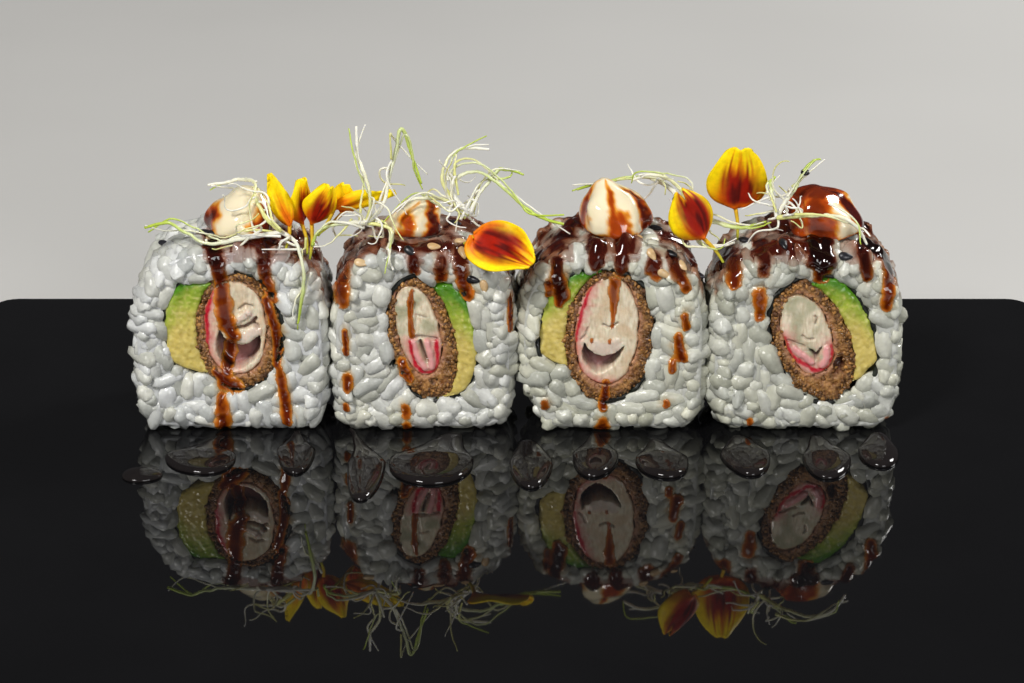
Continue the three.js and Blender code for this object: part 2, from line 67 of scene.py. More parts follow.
# The slices from left to right. An oval is (x, z, half width, half height, tilt), seen from the front.
#   x, half_width: the slice's middle in the row, and half of its width
#   tuck: how far its left foot is drawn in
#   seed: what its random draws and its noise start from
#   side: the side of the crab stick that the avocado lies on, -1 left and 1 right
#   cavity, stick, crab: the ovals of the nori, the crumb coat and the crab stick
#   avocado: how far below and above the stick's middle the slab reaches
#   tail: the nori's free end, as the angles where it leaves and ends and how far out it runs
#   mayo: x, y, radius, height and lean of the tip; dome: from 0, pointed, to 1, round
#   green_line: the height at which the avocado turns from yellow to green
#   cover_from, cover: where the thin film of sauce on the top begins, and how thick it is
#   rice_tint_and_light: the rice's tint for the slice, and on the first slice a lift of painted light
#   red, red_width, pink_width: where the crab's red skin runs, and how far its red and pink reach
#   hollow, hollow_depth: the outline of the hole in the crab's cut face, and its depth
#   strips, folds: (line, width, height) of what stands proud of the cut face, and of its creases
#   crab_shade, strip_shade: the colours of its cloudy places and of its strips, 0 to 255
#   pocket: the outline of a hole in the crumb coat
#   strokes: runs of sauce, each a list of (x, down, radius, depth), with x from the slice's middle
#       and down from the front top edge, less than nothing on the top
SLICES = [
    {
        "x": -62.7, "half_width": 21.6, "tuck": 0.0, "seed": 11, "side": -1,
        "cavity": (-1.3, 23.3, 13.3, 14.4, 0.04), "stick": (2.1, 23.3, 9.4, 13.3, 0.02),
        "crab": (1.3, 24.2, 6.9, 10.9, 0.02), "avocado": (-9.4, 11.2), "tail": (0.55, -0.75, 5.6),
        "mayo": (2.6, 0.4, 8.0, 9.6, 1.2), "dome": 0.45,
        "green_line": 28.0, "cover_from": -6.0, "cover": 1.0, "rice_tint_and_light": (1.07, 1.08, 1.14),
        "red": [(-3.4, 33.4), (-4.3, 30), (-5.0, 26.8), (-4.8, 22.6), (-5.2, 19.0), (-4.3, 15.8),
                (-2.2, 13.7), (1.4, 12.8)],
        "red_width": 0.62, "pink_width": 2.0, "hollow_depth": 4.6,
        "crab_shade": (210, 184, 150), "strip_shade": (214, 196, 182),
        "hollow": [(-3.0, 21.0), (-2.1, 24.2), (-1.3, 22.0), (0.2, 20.8), (2.6, 20.3), (4.8, 20.9),
                   (6.7, 22.6), (7.0, 20.8), (6.5, 18.4), (5.0, 16.2), (2.6, 14.6), (0.0, 14.1),
                   (-1.6, 15.2), (-2.8, 17.8)],
        "strips": [([(1.8, 26.0), (3.2, 26.8), (4.4, 28.0)], 0.9, 0.6),
                   ([(4.4, 28.0), (5.4, 26.6)], 0.7, 0.4),
                   ([(1.6, 22.4), (3.4, 21.9), (6.0, 23.6)], 1.4, 0.55)],
        "folds": [([(1.6, 24.2), (3.4, 24.4), (5.0, 25.2), (6.0, 26.4)], 0.34, 1.8),
                  ([(2.4, 28.6), (3.8, 29.6), (5.2, 29.2)], 0.3, 0.7),
                  ([(0.9, 30.8), (1.2, 28.4), (1.0, 26.2)], 0.3, 0.5),
                  ([(5.6, 25.2), (6.4, 24.6)], 0.35, 1.2)],
        "pocket": None,
        "strokes": [
            [(-3.9, -6, 1.9, 0.5), (-3.4, -2.5, 2.0, 0.7), (-2.0, 3, 1.9, 0.6), (-1.4, 7, 1.7, 0.5),
             (-1.1, 12, 2.3, 0.35), (-0.4, 16.5, 2.3, 0.5), (1.0, 19.2, 1.6, 0.8)],
            [(0.4, 20.5, 1.4, 0.5), (-0.2, 24, 1.9, 0.5), (-0.8, 28, 1.8, 0.6)],
            [(-3.2, 27.6, 1.2, 0.5), (-1.2, 30, 2.4, 0.7), (1.4, 31.4, 1.8, 0.5)],
            [(-2.3, 33.2, 1.3, 0.3), (-2.1, 37, 1.9, 0.35), (-2.0, 40.5, 2.0, 0.5)],
            [(7.6, -5, 1.8, 0.4), (7.9, -1, 1.7, 0.5), (8.3, 3.6, 1.6, 0.4), (8.9, 7.7, 1.7, 0.4),
             (10, 10.6, 1.4, 0.3)],
            [(8.4, 11, 1.2, 0.5), (10.2, 17, 1.3, 0.6), (10.7, 22, 1.2, 0.6), (10.4, 26, 1.0, 0.5)],
            [(11, 27, 1.0, 0.3), (11.5, 31, 1.4, 0.4), (12.4, 36.5, 1.6, 0.5), (12.7, 39, 1.5, 0.5)],
            [(2.5, -4.6, 1.6, 0.6), (6, -4.2, 1.8, 0.7), (10, -5, 1.5, 0.5)],
            [(-6, -9, 1.5, 0.5), (-3.6, -7.5, 2.2, 0.7)],
        ],
    },
    {
        "x": -19.8, "half_width": 20.3, "tuck": 0.0, "seed": 23, "side": 1,
        "cavity": (1.9, 21.7, 10.2, 15.0, 0.14), "stick": (-0.1, 21.7, 7.1, 14.4, 0.22),
        "crab": (-1.0, 23.6, 4.6, 10.6, 0.22), "avocado": (-18.0, 11.0), "tail": (2.5, 3.7, 4.6),
        "mayo": (-1.6, 0.5, 6.3, 6.8, 1.0), "dome": 0.7,
        "green_line": 24.5, "cover_from": -30.0, "cover": 0.72, "rice_tint_and_light": (1.0, 1.0, 1.01),
        "red": [(-2.9, 21.0), (-2.4, 18.4), (-1.6, 15.6), (-0.2, 14.1), (1.6, 13.7), (3.0, 14.4),
                (3.4, 16.4), (3.1, 19.0), (3.0, 21.0)],
        "red_width": 0.5, "pink_width": 1.5, "hollow_depth": 1.8,
        "crab_shade": (156, 156, 124), "strip_shade": (226, 156, 158),
        "hollow": [(2.3, 12.4), (3.4, 12.3), (3.7, 13.3), (2.9, 13.7)],
        "strips": [([(-2.2, 21.0), (-1.3, 17.8), (0.4, 15.0)], 0.85, 0.7),
                   ([(0.9, 21.2), (1.6, 18.0), (1.9, 15.2)], 0.85, 0.7)],
        "folds": [([(-0.6, 21.0), (0.1, 18.8), (0.9, 16.6)], 0.32, 1.7),
                  ([(-2.6, 21.9), (-0.6, 22.2), (1.4, 21.9), (3.0, 21.6)], 0.32, 0.8),
                  ([(-1.6, 30.0), (-1.4, 26.8), (-1.7, 23.4)], 0.25, 0.45),
                  ([(-1.2, 27.2), (0.8, 26.6)], 0.2, 0.4)],
        "pocket": None,
        "strokes": [
            [(-17.5, -7, 2.2, 0.3), (-18, -2, 2.6, 0.35), (-18.2, 3, 2.6, 0.35), (-17.9, 8, 2.5, 0.35),
             (-17.5, 11, 2, 0.35)],
            [(-17.2, 18.3, 0.9, 0.45), (-17.1, 21, 0.85, 0.35), (-17, 23.3, 0.9, 0.5)],
            [(-16.9, 29, 1.3, 0.35), (-16.8, 30.8, 1.5, 0.5)],
            [(-17.3, 35.4, 0.8, 0.3), (-17.3, 36.4, 0.9, 0.35)],
            [(-2.2, 8.9, 0.6, 0.2), (-2.6, 11.5, 0.95, 0.32), (-2.7, 15, 0.7, 0.24),
             (-2.3, 19.4, 0.8, 0.3)],
            [(-4.6, 25.5, 1.2, 0.35), (-4, 28, 1.6, 0.4), (-3, 29.6, 1.1, 0.3)],
            [(-3.9, 36, 1.2, 0.3), (-3.9, 37.6, 1.2, 0.3)],
            [(-3.9, 40.6, 1.3, 0.35), (-3.8, 42, 1.2, 0.4)],
            [(4.2, 2, 1.5, 0.4), (4.2, 6, 1.7, 0.45)],
            [(8.4, 1, 1.7, 0.4), (8.9, 6, 1.7, 0.45), (10, 9.8, 1.6, 0.4)],
            [(-1.9, 1, 1.5, 0.4), (-1.7, 4, 1.5, 0.45)],
            [(-7, -2, 1.6, 0.4), (-2, -1, 1.8, 0.5), (4, -1.4, 1.8, 0.5), (9.5, -1, 1.6, 0.4)],
            [(19.4, 11.2, 0.7, 0.4), (19.4, 18.2, 0.7, 0.4)],
        ],
    },
    {
        "x": 22.4, "half_width": 20.9, "tuck": 3.8, "seed": 37, "side": -1,
        "cavity": (-3.4, 22.3, 13.2, 15.7, -0.06), "stick": (-0.9, 22.0, 9.6, 15.2, -0.05),
        "crab": (-1.4, 23.4, 7.0, 12.4, -0.05), "avocado": (-7.0, 14.8), "tail": (0.75, -0.6, 6.0),
        "mayo": (0.6, 0.4, 8.0, 11.5, -3.0), "dome": 0.15,
        "green_line": 30.0, "cover_from": -30.0, "cover": 1.3, "rice_tint_and_light": (0.98, 0.98, 0.94),
        "red": [(-4.6, 35.2), (-5.9, 31.5), (-7.1, 27.5), (-8.2, 22.4), (-8.5, 18.0), (-7.2, 14.4),
                (-5.2, 12.0), (-2.6, 10.9), (-0.6, 11.0)],
        "red_width": 0.42, "pink_width": 1.7, "hollow_depth": 4.6,
        "crab_shade": (210, 184, 150), "strip_shade": (214, 196, 182),
        "hollow": [(-6.4, 21.0), (-5.6, 19.5), (-3.9, 18.1), (-1.8, 17.7), (0.4, 18.3), (2.6, 20.1),
                   (1.7, 17.5), (0.2, 15.3), (-1.8, 13.9), (-3.4, 13.5), (-5.2, 14.7), (-6.5, 16.4),
                   (-6.9, 18.6)],
        "strips": [([(-3.6, 19.9), (-1.6, 19.4), (0.4, 20.2)], 1.9, 0.35)],
        "folds": [([(-2.2, 25.0), (-1.0, 24.3), (0.2, 24.8), (1.0, 25.4)], 0.2, 0.8),
                  ([(-7.0, 21.6), (-6.0, 22.6), (-5.6, 24.2)], 0.25, 0.5)],
        "pocket": None,
        "strokes": [
            [(-3.4, -8, 2, 0.6), (-3.8, -2, 2.2, 0.6), (-4, 3, 1.8, 0.5)],
            [(1.5, -6, 2, 0.5), (1.6, -1, 2, 0.5), (1.5, 4.5, 1.7, 0.4)],
            [(8.9, 1.5, 1.8, 0.4), (8.9, 4, 2.3, 0.5)],
            [(12.6, 1, 1.8, 0.4), (14.6, 5, 1.8, 0.4), (16, 8, 1.4, 0.35)],
            [(-12.6, 2.5, 1.6, 0.6), (-12.2, 6.5, 2.2, 0.9), (-11.4, 10, 2.0, 0.9), (-12, 12, 1.4, 0.6)],
            [(-14.3, 6.4, 1.1, 0.3), (-14.3, 9.6, 1.1, 0.3)],
            [(0.1, 7, 1.7, 0.34), (0.1, 10.5, 1.4, 0.3), (0, 14, 0.9, 0.24), (-0.2, 17.5, 0.45, 0.18)],
            [(-4.7, 20.4, 0.6, 0.2), (-4.7, 20.7, 0.6, 0.2)],
            [(-0.7, 20.5, 0.6, 0.2), (-0.7, 20.8, 0.6, 0.2)],
            [(15.7, 14.5, 1.1, 0.35), (16.3, 17.4, 1.1, 0.35)],
            [(14.3, 19.2, 1.2, 0.35), (15.3, 24.3, 1.6, 0.45)],
            [(13.3, 25.6, 1.0, 0.3), (13.2, 27, 1.1, 0.35)],
            [(12, 34.6, 0.9, 0.25), (12, 35.4, 1.0, 0.3)],
            [(-1.5, 30.5, 1.0, 0.5), (-1.7, 33.5, 1.3, 0.8), (-1.9, 36, 1.2, 0.6)],
            [(-2.1, 39.5, 1.5, 0.3), (-2.1, 41, 1.8, 0.4)],
            [(-15.2, 34.6, 1.0, 0.25), (-15.1, 35.8, 1.1, 0.3)],
        ],
    },
    {
        "x": 65.4, "half_width": 21.4, "tuck": 0.0, "seed": 53, "side": 1,
        "cavity": (3.7, 21.5, 11.3, 15.2, 0.38), "stick": (1.2, 21.1, 8.2, 14.6, 0.42),
        "crab": (0.0, 22.6, 5.2, 9.6, 0.36), "avocado": (-12.5, 12.2), "tail": (2.3, 3.6, 7.4),
        "mayo": (4.6, 0.5, 8.4, 9.4, -2.5), "dome": 0.9,
        "green_line": 27.5, "cover_from": -30.0, "cover": 1.0, "rice_tint_and_light": (0.94, 0.945, 0.92),
        "red": [(-5.0, 22.0), (-4.4, 19.6), (-3.2, 17.6), (-1.0, 16.2), (1.6, 14.5), (4.0, 14.4),
                (5.4, 15.4), (6.0, 17.6), (5.6, 20.0)],
        "red_width": 0.6, "pink_width": 2.1, "hollow_depth": 1.8,
        "crab_shade": (156, 156, 124), "strip_shade": (226, 156, 158),
        "hollow": [(0.0, 19.9), (1.0, 18.4), (2.2, 16.6), (3.0, 18.2), (3.9, 20.2), (3.0, 19.6),
                   (2.2, 18.4), (1.2, 19.2)],
        "strips": [([(-2.6, 19.4), (-0.6, 17.9), (1.2, 16.4)], 0.9, 0.55),
                   ([(4.4, 19.4), (4.4, 17.2), (3.6, 15.6)], 0.85, 0.5)],
        "folds": [([(1.6, 27.0), (2.1, 26.4), (1.8, 25.2)], 0.2, 0.7),
                  ([(-1.0, 22.4), (0.0, 21.6), (1.4, 21.6)], 0.22, 0.7),
                  ([(-4.2, 21.4), (-2.2, 20.6), (-0.6, 20.0)], 0.25, 0.6)],
        "pocket": [(5.9, 15.6), (6.9, 17.4), (8.2, 17.6), (8.9, 15.4), (8.2, 13.8), (6.4, 13.6)],
        "strokes": [
            [(-10.4, -5, 1.6, 0.5), (-10.2, 0, 1.8, 0.5), (-10, 4.2, 1.6, 0.4)],
            [(2, -9, 3, 1), (2.2, -3, 3.4, 1.0), (2.6, 2, 3.0, 0.9), (2.4, 5.6, 2.0, 0.6)],
            [(11.4, -3, 1.6, 0.6), (12, 1.5, 1.4, 0.6), (12.6, 5.6, 1.4, 0.6)],
            [(-17, -3, 1.8, 0.4), (-16.6, 2, 1.8, 0.45), (-16.4, 7, 1.7, 0.45)],
            [(-10.8, 9.4, 1.7, 0.3), (-10.6, 12.5, 1.7, 0.35), (-10.8, 15, 1.3, 0.3)],
            [(17.8, 4, 2.0, 0.5), (17.6, 8, 1.9, 0.5), (17.3, 12.4, 1.4, 0.4)],
            [(13.5, -6, 2.4, 1.0), (16.5, -3, 3.6, 1.6), (18.4, 1, 2.6, 1.2)],
            [(-12.2, 39, 0.9, 0.25), (-12.2, 40, 1.0, 0.3)],
            [(18.7, 39, 0.6, 0.2), (18.7, 40, 0.6, 0.2)],
        ],
    },
]

# Petals: the blade's root, its turn in radians, width, length and cup, how much of it the dark red
# heart takes, and where the claw below it ends. A broad one is fuller near its tip.
PETALS = {
    "petal_1": {"root": (-49.2, -1.2, 44.6), "turn": (-0.1, -0.34, 0.25), "width": 4.6, "length": 13.2,
                "cup": 0.9, "heart": 0.1, "foot": (-50.0, -6.5, 40.8)},
    "petal_2": {"root": (-46.6, 3.0, 43.4), "turn": (0.05, 0.02, 0.7), "width": 6.2, "length": 11.6,
                "cup": 1.8, "heart": 0.78, "foot": (-45.4, -3.0, 38.6)},
    "petal_3": {"root": (-44.4, -0.6, 44.8), "turn": (0.12, 0.42, 0.1), "width": 7.2, "length": 11.2,
                "cup": 1.5, "heart": 0.8, "foot": (-44.8, -4.5, 38.0)},
    "petal_4": {"root": (-38.0, 4.8, 45.2), "turn": (0.2, 0.12, -0.5), "width": 6.4, "length": 8.4,
                "cup": 1.2, "heart": 0.32, "foot": (-42.2, -5.6, 44.8)},
    "petal_5": {"root": (-39.4, 1.4, 47.6), "turn": (0.3, 1.22, 0.1), "width": 5.0, "length": 15.0,
                "cup": 1.0, "heart": 0.12, "foot": (-42.6, -6.6, 44.6)},
    "petal_6": {"root": (-8.6, -8.2, 44.6), "turn": (1.9, 1.0, 0.15), "width": 14.0, "length": 15.6,
                "cup": 1.6, "heart": 0.96, "foot": (-10.6, -6.0, 42.4), "broad": True},
    "petal_7": {"root": (42.2, -9.1, 44.9), "turn": (-0.12, -0.5, 0.35), "width": 10.4, "length": 13.0,
                "cup": 2.0, "heart": 1.1, "foot": (46.4, -9.8, 39.5), "notch": 0.24},
    "petal_8": {"root": (49.8, 3.2, 47.0), "turn": (0.12, 0.02, 0.0), "width": 13.4, "length": 15.8,
                "cup": 1.2, "heart": 0.8, "foot": (50.2, 0.5, 40.5), "broad": True},
}

# Sprouts: each tangle's knot and the points that each shoot runs through
TANGLES = {
    "sprouts_1": ((-50.6, -5.4, 44.9), [
        [(-58, -6.6, 44.4), (-66, -7.6, 43.8), (-71, -6, 45.6), (-75.5, -5, 47.4), (-81, -4, 45.4)],
        [(-53.6, -5.2, 48), (-56.2, -1.8, 51.6), (-57.2, 3, 53.2), (-60.4, 7.4, 52), (-64, 8.4, 50.8),
         (-68, 7.2, 51)],
        [(-47, -9.4, 43.5), (-45.6, -12, 37), (-46.4, -12.6, 31), (-47.3, -12.6, 26)],
    ]),
    "sprouts_2": ((-32, -3.8, 46.4), [
        [(-36, -5, 47), (-42, -6.4, 45.6), (-44, -8, 42.4)],
        [(-31, -4, 50.4), (-31.6, -3, 54.8), (-34.2, 0.6, 60.6), (-34.2, 2.4, 66.8)],
        [(-28, -3.6, 51), (-26.2, 0, 59), (-24.2, 1.6, 66.2), (-22.2, 1.6, 61), (-20, 0.6, 54)],
        [(-26.5, -6, 46), (-27.6, -9, 42), (-26, -11.4, 38.4)],
    ]),
    "sprouts_3": ((-9.5, -1.4, 47.4), [
        [(-13, 0, 52), (-12, 1.8, 55.6), (-7, 2.2, 57), (-1, 1, 53), (5, -2, 48.8), (11.4, -4.4, 46.4)],
        [(-14.6, 1.6, 52.6), (-14, 4, 57.6), (-10.6, 5, 60), (-5, 5, 60.4)],
        [(-7, 3, 51.6), (-3, 5.4, 55.4), (2.6, 6.4, 53.8)],
        [(-15, -1, 50.6), (-22, -2.2, 51), (-27, -4.4, 48.4)],
    ]),
    "sprouts_4": ((38, -1.2, 48), [
        [(35.4, 4, 51.6), (31, 8.4, 52.6), (26, 10.6, 52), (20.4, 11.2, 50.2), (14.6, 9.6, 49)],
        [(37.6, 0.6, 52.4), (34, 2.8, 55.4), (30, 3.4, 55.8), (26.6, 3.6, 53.8)],
        [(42, -2, 46.6), (50, -4, 45.6), (56, -4.4, 47)],
        [(40, -6, 44.6), (43, -8, 42), (49, -7.6, 43.4)],
    ]),
    "sprouts_5": ((58.4, -3.6, 47.6), [
        [(60.6, -0.4, 51), (62.4, 1.6, 53.6), (64.6, 3, 56.6), (66.8, 3.2, 58.6)],
        [(62.6, -6.6, 49.4), (68, -8.8, 50.4), (74, -9.6, 48.4), (77.6, -10, 43.9)],
        [(57.4, -2, 51.6), (56.4, -0.6, 54), (58, 1, 55.4)],
    ]),
}


def tint(red, green, blue):
    """A colour as a camera shows it, 0 to 255, made linear."""
    values = []
    for value in (red, green, blue):
        share = value / 255
        values.append(share / 12.92 if share <= 0.04045 else ((share + 0.055) / 1.055) ** 2.4)
    return np.array(values)


def blend(low, high, share):
    """Mix two colours by a share that may be an array."""
    share = np.asarray(share)[..., None]
    return np.asarray(low) * (1 - share) + np.asarray(high) * share


def ramp(value, low, high):
    """0 below low, 1 above high, smooth between."""
    share = np.clip((np.asarray(value) - low) / (high - low), 0, 1)
    return share * share * (3 - 2 * share)


def unit(vectors):
    """Each row made a vector of length 1."""
    return vectors / np.linalg.norm(vectors, axis=1)[:, None]


def rough_field(points, scale, seed=0.0):
    """Smooth noise from -1 to 1 at points of two or three coordinates."""
    shifted = np.zeros((len(points), 3))
    shifted[:, : points.shape[1]] = points * scale
    shifted += seed * 7.31
    return np.array([noise.noise(p) for p in shifted])


# ---- outlines -------------------------------------------------------------------------------

def oval_radius(oval, angle, power):
    """How far an oval reaches at an angle. A higher power makes it squarer."""
    _, _, a, b, tilt = oval
    turned = angle - tilt
    return ((np.abs(np.cos(turned)) / a) ** power + (np.abs(np.sin(turned)) / b) ** power) ** (-1 / power)


def oval_outline(oval, power, grow=0.0, count=120):
    """An oval as points that run anticlockwise."""
    angle = np.linspace(0, 2 * np.pi, count, endpoint=False)
    r = oval_radius(oval, angle, power) + grow
    return np.stack((oval[0] + r * np.cos(angle), oval[1] + r * np.sin(angle)), axis=1)


def rim_outline(slice_, inset=0.0, count=180):
    """The slice's outer edge, seen from the front."""
    angle = np.linspace(0, 2 * np.pi, count, endpoint=False)
    near, far = np.zeros(count), np.full(count, 60.0)
    for _ in range(30):
        half = (near + far) / 2
        x, z = half * np.cos(angle), RIM_MIDDLE + half * np.sin(angle)
        upper = z > RIM_MIDDLE
        power = np.where(upper, RIM_TOP_POWER, RIM_FOOT_POWER)
        height = np.where(upper, SLICE_HEIGHT - RIM_MIDDLE, RIM_MIDDLE + FOOT_BELOW)
        drawn_in = np.where((x < 0) & (z < RIM_MIDDLE), slice_["tuck"], 0)
        width = slice_["half_width"] - drawn_in * np.clip(1 - z / RIM_MIDDLE, 0, 1) ** 1.5
        inside = (np.abs(x / width) ** power + np.abs((z - RIM_MIDDLE) / height) ** power < 1) & (z > 0)
        near, far = np.where(inside, half, near), np.where(inside, far, half)
    points = np.stack((near * np.cos(angle), RIM_MIDDLE + near * np.sin(angle)), axis=1)
    if inset:
        along = unit(np.roll(points, -1, axis=0) - np.roll(points, 1, axis=0))
        points = points - inset * np.stack((along[:, 1], -along[:, 0]), axis=1)
    return points


def edge_distance(points, outline):
    """Signed distance to a closed outline that runs anticlockwise, and the way out of it."""
    start, end = outline, np.roll(outline, -1, axis=0)
    run = end - start
    square = (run ** 2).sum(1)
    share = np.clip(((points[:, None] - start) * run).sum(2) / square, 0, 1)
    nearest = start + share[..., None] * run
    gap = points[:, None] - nearest
    distance = np.linalg.norm(gap, axis=2)
    pick = distance.argmin(1)
    rows = np.arange(len(points))
    outward = unit(np.stack((run[pick, 1], -run[pick, 0]), axis=1))
    inside = points_inside(points, outline)
    return np.where(inside, -1, 1) * distance[rows, pick], outward


def points_inside(points, outline):
    """Whether each point lies inside a closed outline."""
    start, end = outline, np.roll(outline, -1, axis=0)
    x, z = points[:, 0][:, None], points[:, 1][:, None]
    crosses = (start[:, 1] > z) != (end[:, 1] > z)
    rise = np.where(end[:, 1] == start[:, 1], 1e-9, end[:, 1] - start[:, 1])
    at = start[:, 0] + (z - start[:, 1]) * (end[:, 0] - start[:, 0]) / rise
    return (crosses & (x < at)).sum(1) % 2 == 1


def line_distance(points, line):
    """Distance to an open line."""
    line = np.asarray(line, dtype=float)
    start, run = line[:-1], np.diff(line, axis=0)
    share = np.clip(((points[:, None] - start) * run).sum(2) / (run ** 2).sum(1), 0, 1)
    return np.linalg.norm(points[:, None] - (start + share[..., None] * run), axis=2).min(1)


def resampled(outline, spacing):
    """A closed outline as evenly spaced points."""
    loop = np.vstack((outline, outline[:1]))
    steps = np.linalg.norm(np.diff(loop, axis=0), axis=1)
    reach = np.concatenate(([0], np.cumsum(steps)))
    count = max(12, int(reach[-1] / spacing))
    at = np.linspace(0, reach[-1], count, endpoint=False)
    return np.stack((np.interp(at, reach, loop[:, 0]), np.interp(at, reach, loop[:, 1])), axis=1)


# ---- meshes ---------------------------------------------------------------------------------

def slice_place(slice_, points):
    """From a slice's own upright frame to the part's frame, in metres."""
    moved = np.array(points, dtype=float)
    moved[:, 1] += SLICE_LEAN * (moved[:, 2] - SLICE_HEIGHT / 2)
    moved[:, 0] += slice_["x"]
    return (moved + ROW) * MM


def row_place(points):
    """From the row's frame to the part's frame, in metres."""
    return (np.array(points, dtype=float) + ROW) * MM


def deselect():
    """Deselect every object, because an operator acts on all that is selected."""
    for obj in bpy.context.selected_objects:
        obj.select_set(False)


def template_of(add, **shape):
    """Add a primitive on its own, read it as arrays of points and faces, and remove it."""
    deselect()
    add(**shape)
    obj = bpy.context.object
    points = np.array([v.co[:] for v in obj.data.vertices])
    faces = [tuple(p.vertices) for p in obj.data.polygons]
    bpy.data.objects.remove(obj, do_unlink=True)
    return points, faces


def ball(segments, rings):
    """A ball of radius 1."""
    return template_of(bpy.ops.mesh.primitive_uv_sphere_add, segments=segments, ring_count=rings,
                       radius=1)


def make_piece(name, points, faces, material, nodes=(), tone=None, masks=None):
    """A finished piece from its points and faces, with its colours and masks, on the fixed body."""
    mesh = bpy.data.meshes.new(name)
    mesh.from_pydata([tuple(p) for p in points], [], faces)
    if tone is not None:
        layer = mesh.attributes.new("tone", "FLOAT_COLOR", "POINT")
        rgba = np.ones((len(points), 4), dtype=np.float32)
        rgba[:, :3] = tone
        layer.data.foreach_set("color", rgba.ravel())
    for key, values in (masks or {}).items():
        layer = mesh.attributes.new(key, "FLOAT", "POINT")
        layer.data.foreach_set("value", np.asarray(values, dtype=np.float32))
    mesh.polygons.foreach_set("use_smooth", [True] * len(faces))
    mesh.materials.append(material)
    mesh.update()
    obj = bpy.data.objects.new(name, mesh)
    bpy.context.scene.collection.objects.link(obj)
    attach(obj, "root")
    if nodes:
        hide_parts(*nodes)
    return obj


def apply_modifier(obj, kind, **values):
    """Add a modifier with its values and apply it."""
    deselect()
    obj.select_set(True)
    bpy.context.view_layer.objects.active = obj
    modifier = obj.modifiers.new(kind.title(), kind)
    for key, value in values.items():
        setattr(modifier, key, value)
    bpy.ops.object.modifier_apply(modifier=modifier.name)


def stacked(parts):
    """Join (points, faces) pairs into one pair."""
    points, faces, base = [], [], 0
    for part_points, part_faces in parts:
        points.append(part_points)
        faces.extend(tuple(i + base for i in face) for face in part_faces)
        base += len(part_points)
    return np.vstack(points), faces


def cut_slab(outline, hole, spacing, half_depth, relief, seed):
    """A flat form run through the slice, with relief on its two cut faces.

    relief gives, for points (x, z), how far the face stands back. Returns points, faces and the
    (x, z) of each point.
    """
    rim = resampled(outline, spacing)
    loops = [rim]
    if hole is not None:
        loops.append(resampled(hole, spacing))
    low, high = rim.min(0), rim.max(0)
    draws = np.random.default_rng(seed)
    xs = np.arange(low[0], high[0], spacing)
    zs = np.arange(low[1], high[1], spacing * 0.87)
    grid = np.array([(x + (spacing / 2 if row % 2 else 0), z) for row, z in enumerate(zs) for x in xs])
    grid += draws.uniform(-0.18, 0.18, grid.shape) * spacing
    keep = points_inside(grid, rim)
    keep &= np.abs(edge_distance(grid, rim)[0]) > spacing * 0.55
    if hole is not None:
        keep &= ~points_inside(grid, loops[1])
        keep &= np.abs(edge_distance(grid, loops[1])[0]) > spacing * 0.55
    coords, edges = [], []
    for loop in loops:
        base = len(coords)
        coords += [tuple(p) for p in loop]
        edges += [(base + i, base + (i + 1) % len(loop)) for i in range(len(loop))]
    coords += [tuple(p) for p in grid[keep]]
    verts, _, faces, *_ = delaunay_2d_cdt([Vector(c) for c in coords], edges, [], 0, 1e-6)
    flat = np.array([v[:] for v in verts])
    centres = np.array([flat[list(f)].mean(0) for f in faces])
    good = points_inside(centres, rim)
    if hole is not None:
        good &= ~points_inside(centres, loops[1])
    faces = [tuple(f) for f, ok in zip(faces, good) if ok]
    used = sorted({i for f in faces for i in f})
    new = {old: i for i, old in enumerate(used)}
    flat = flat[used]
    faces = [tuple(new[i] for i in f) for f in faces]
    turned = []
    for f in faces:
        a, b, c = flat[list(f)]
        area = (b[0] - a[0]) * (c[1] - a[1]) - (b[1] - a[1]) * (c[0] - a[0])
        turned.append(f if area > 0 else (f[0], f[2], f[1]))
    count = len(flat)
    back = relief(flat)
    front_y = -half_depth + back
    rear_y = half_depth - np.minimum(back, 1.0)
    points = np.vstack((
        np.stack((flat[:, 0], front_y, flat[:, 1]), axis=1),
        np.stack((flat[:, 0], rear_y, flat[:, 1]), axis=1),
    ))
    run = {(f[i], f[(i + 1) % 3]): True for f in turned for i in range(3)}
    rear = [(f[0] + count, f[2] + count, f[1] + count) for f in turned]
    walls = [(a, a + count, b + count, b) for a, b in run if (b, a) not in run]
    return points, turned + rear + walls, np.vstack((flat, flat))


# ---- materials ------------------------------------------------------------------------------

def add_node(tree, kind, inputs=None, **settings):
    """Add a shader node with its settings and the values of its inputs, by name or number."""
    node = tree.nodes.new("ShaderNode" + kind)
    for key, value in settings.items():
        setattr(node, key, value)
    for key, value in (inputs or {}).items():
        node.inputs[key].default_value = value
    return node


def wire(tree, *links):
    """Link sockets, each link given as a node and its output, then a node and its input."""
    for source, output, target, into in links:
        tree.links.new(source.outputs[output], target.inputs[into])


def new_group(name, inputs, outputs):
    """A node group with named inputs and outputs, and the two nodes that stand for them inside."""
    group = bpy.data.node_groups.new(name, "ShaderNodeTree")
    for way, sockets in (("INPUT", inputs), ("OUTPUT", outputs)):
        for socket, value in sockets.items():
            kind = "NodeSocketColor" if isinstance(value, tuple) else "NodeSocketFloat"
            group.interface.new_socket(name=socket, in_out=way, socket_type=kind).default_value = value
    return group, group.nodes.new("NodeGroupInput"), group.nodes.new("NodeGroupOutput")


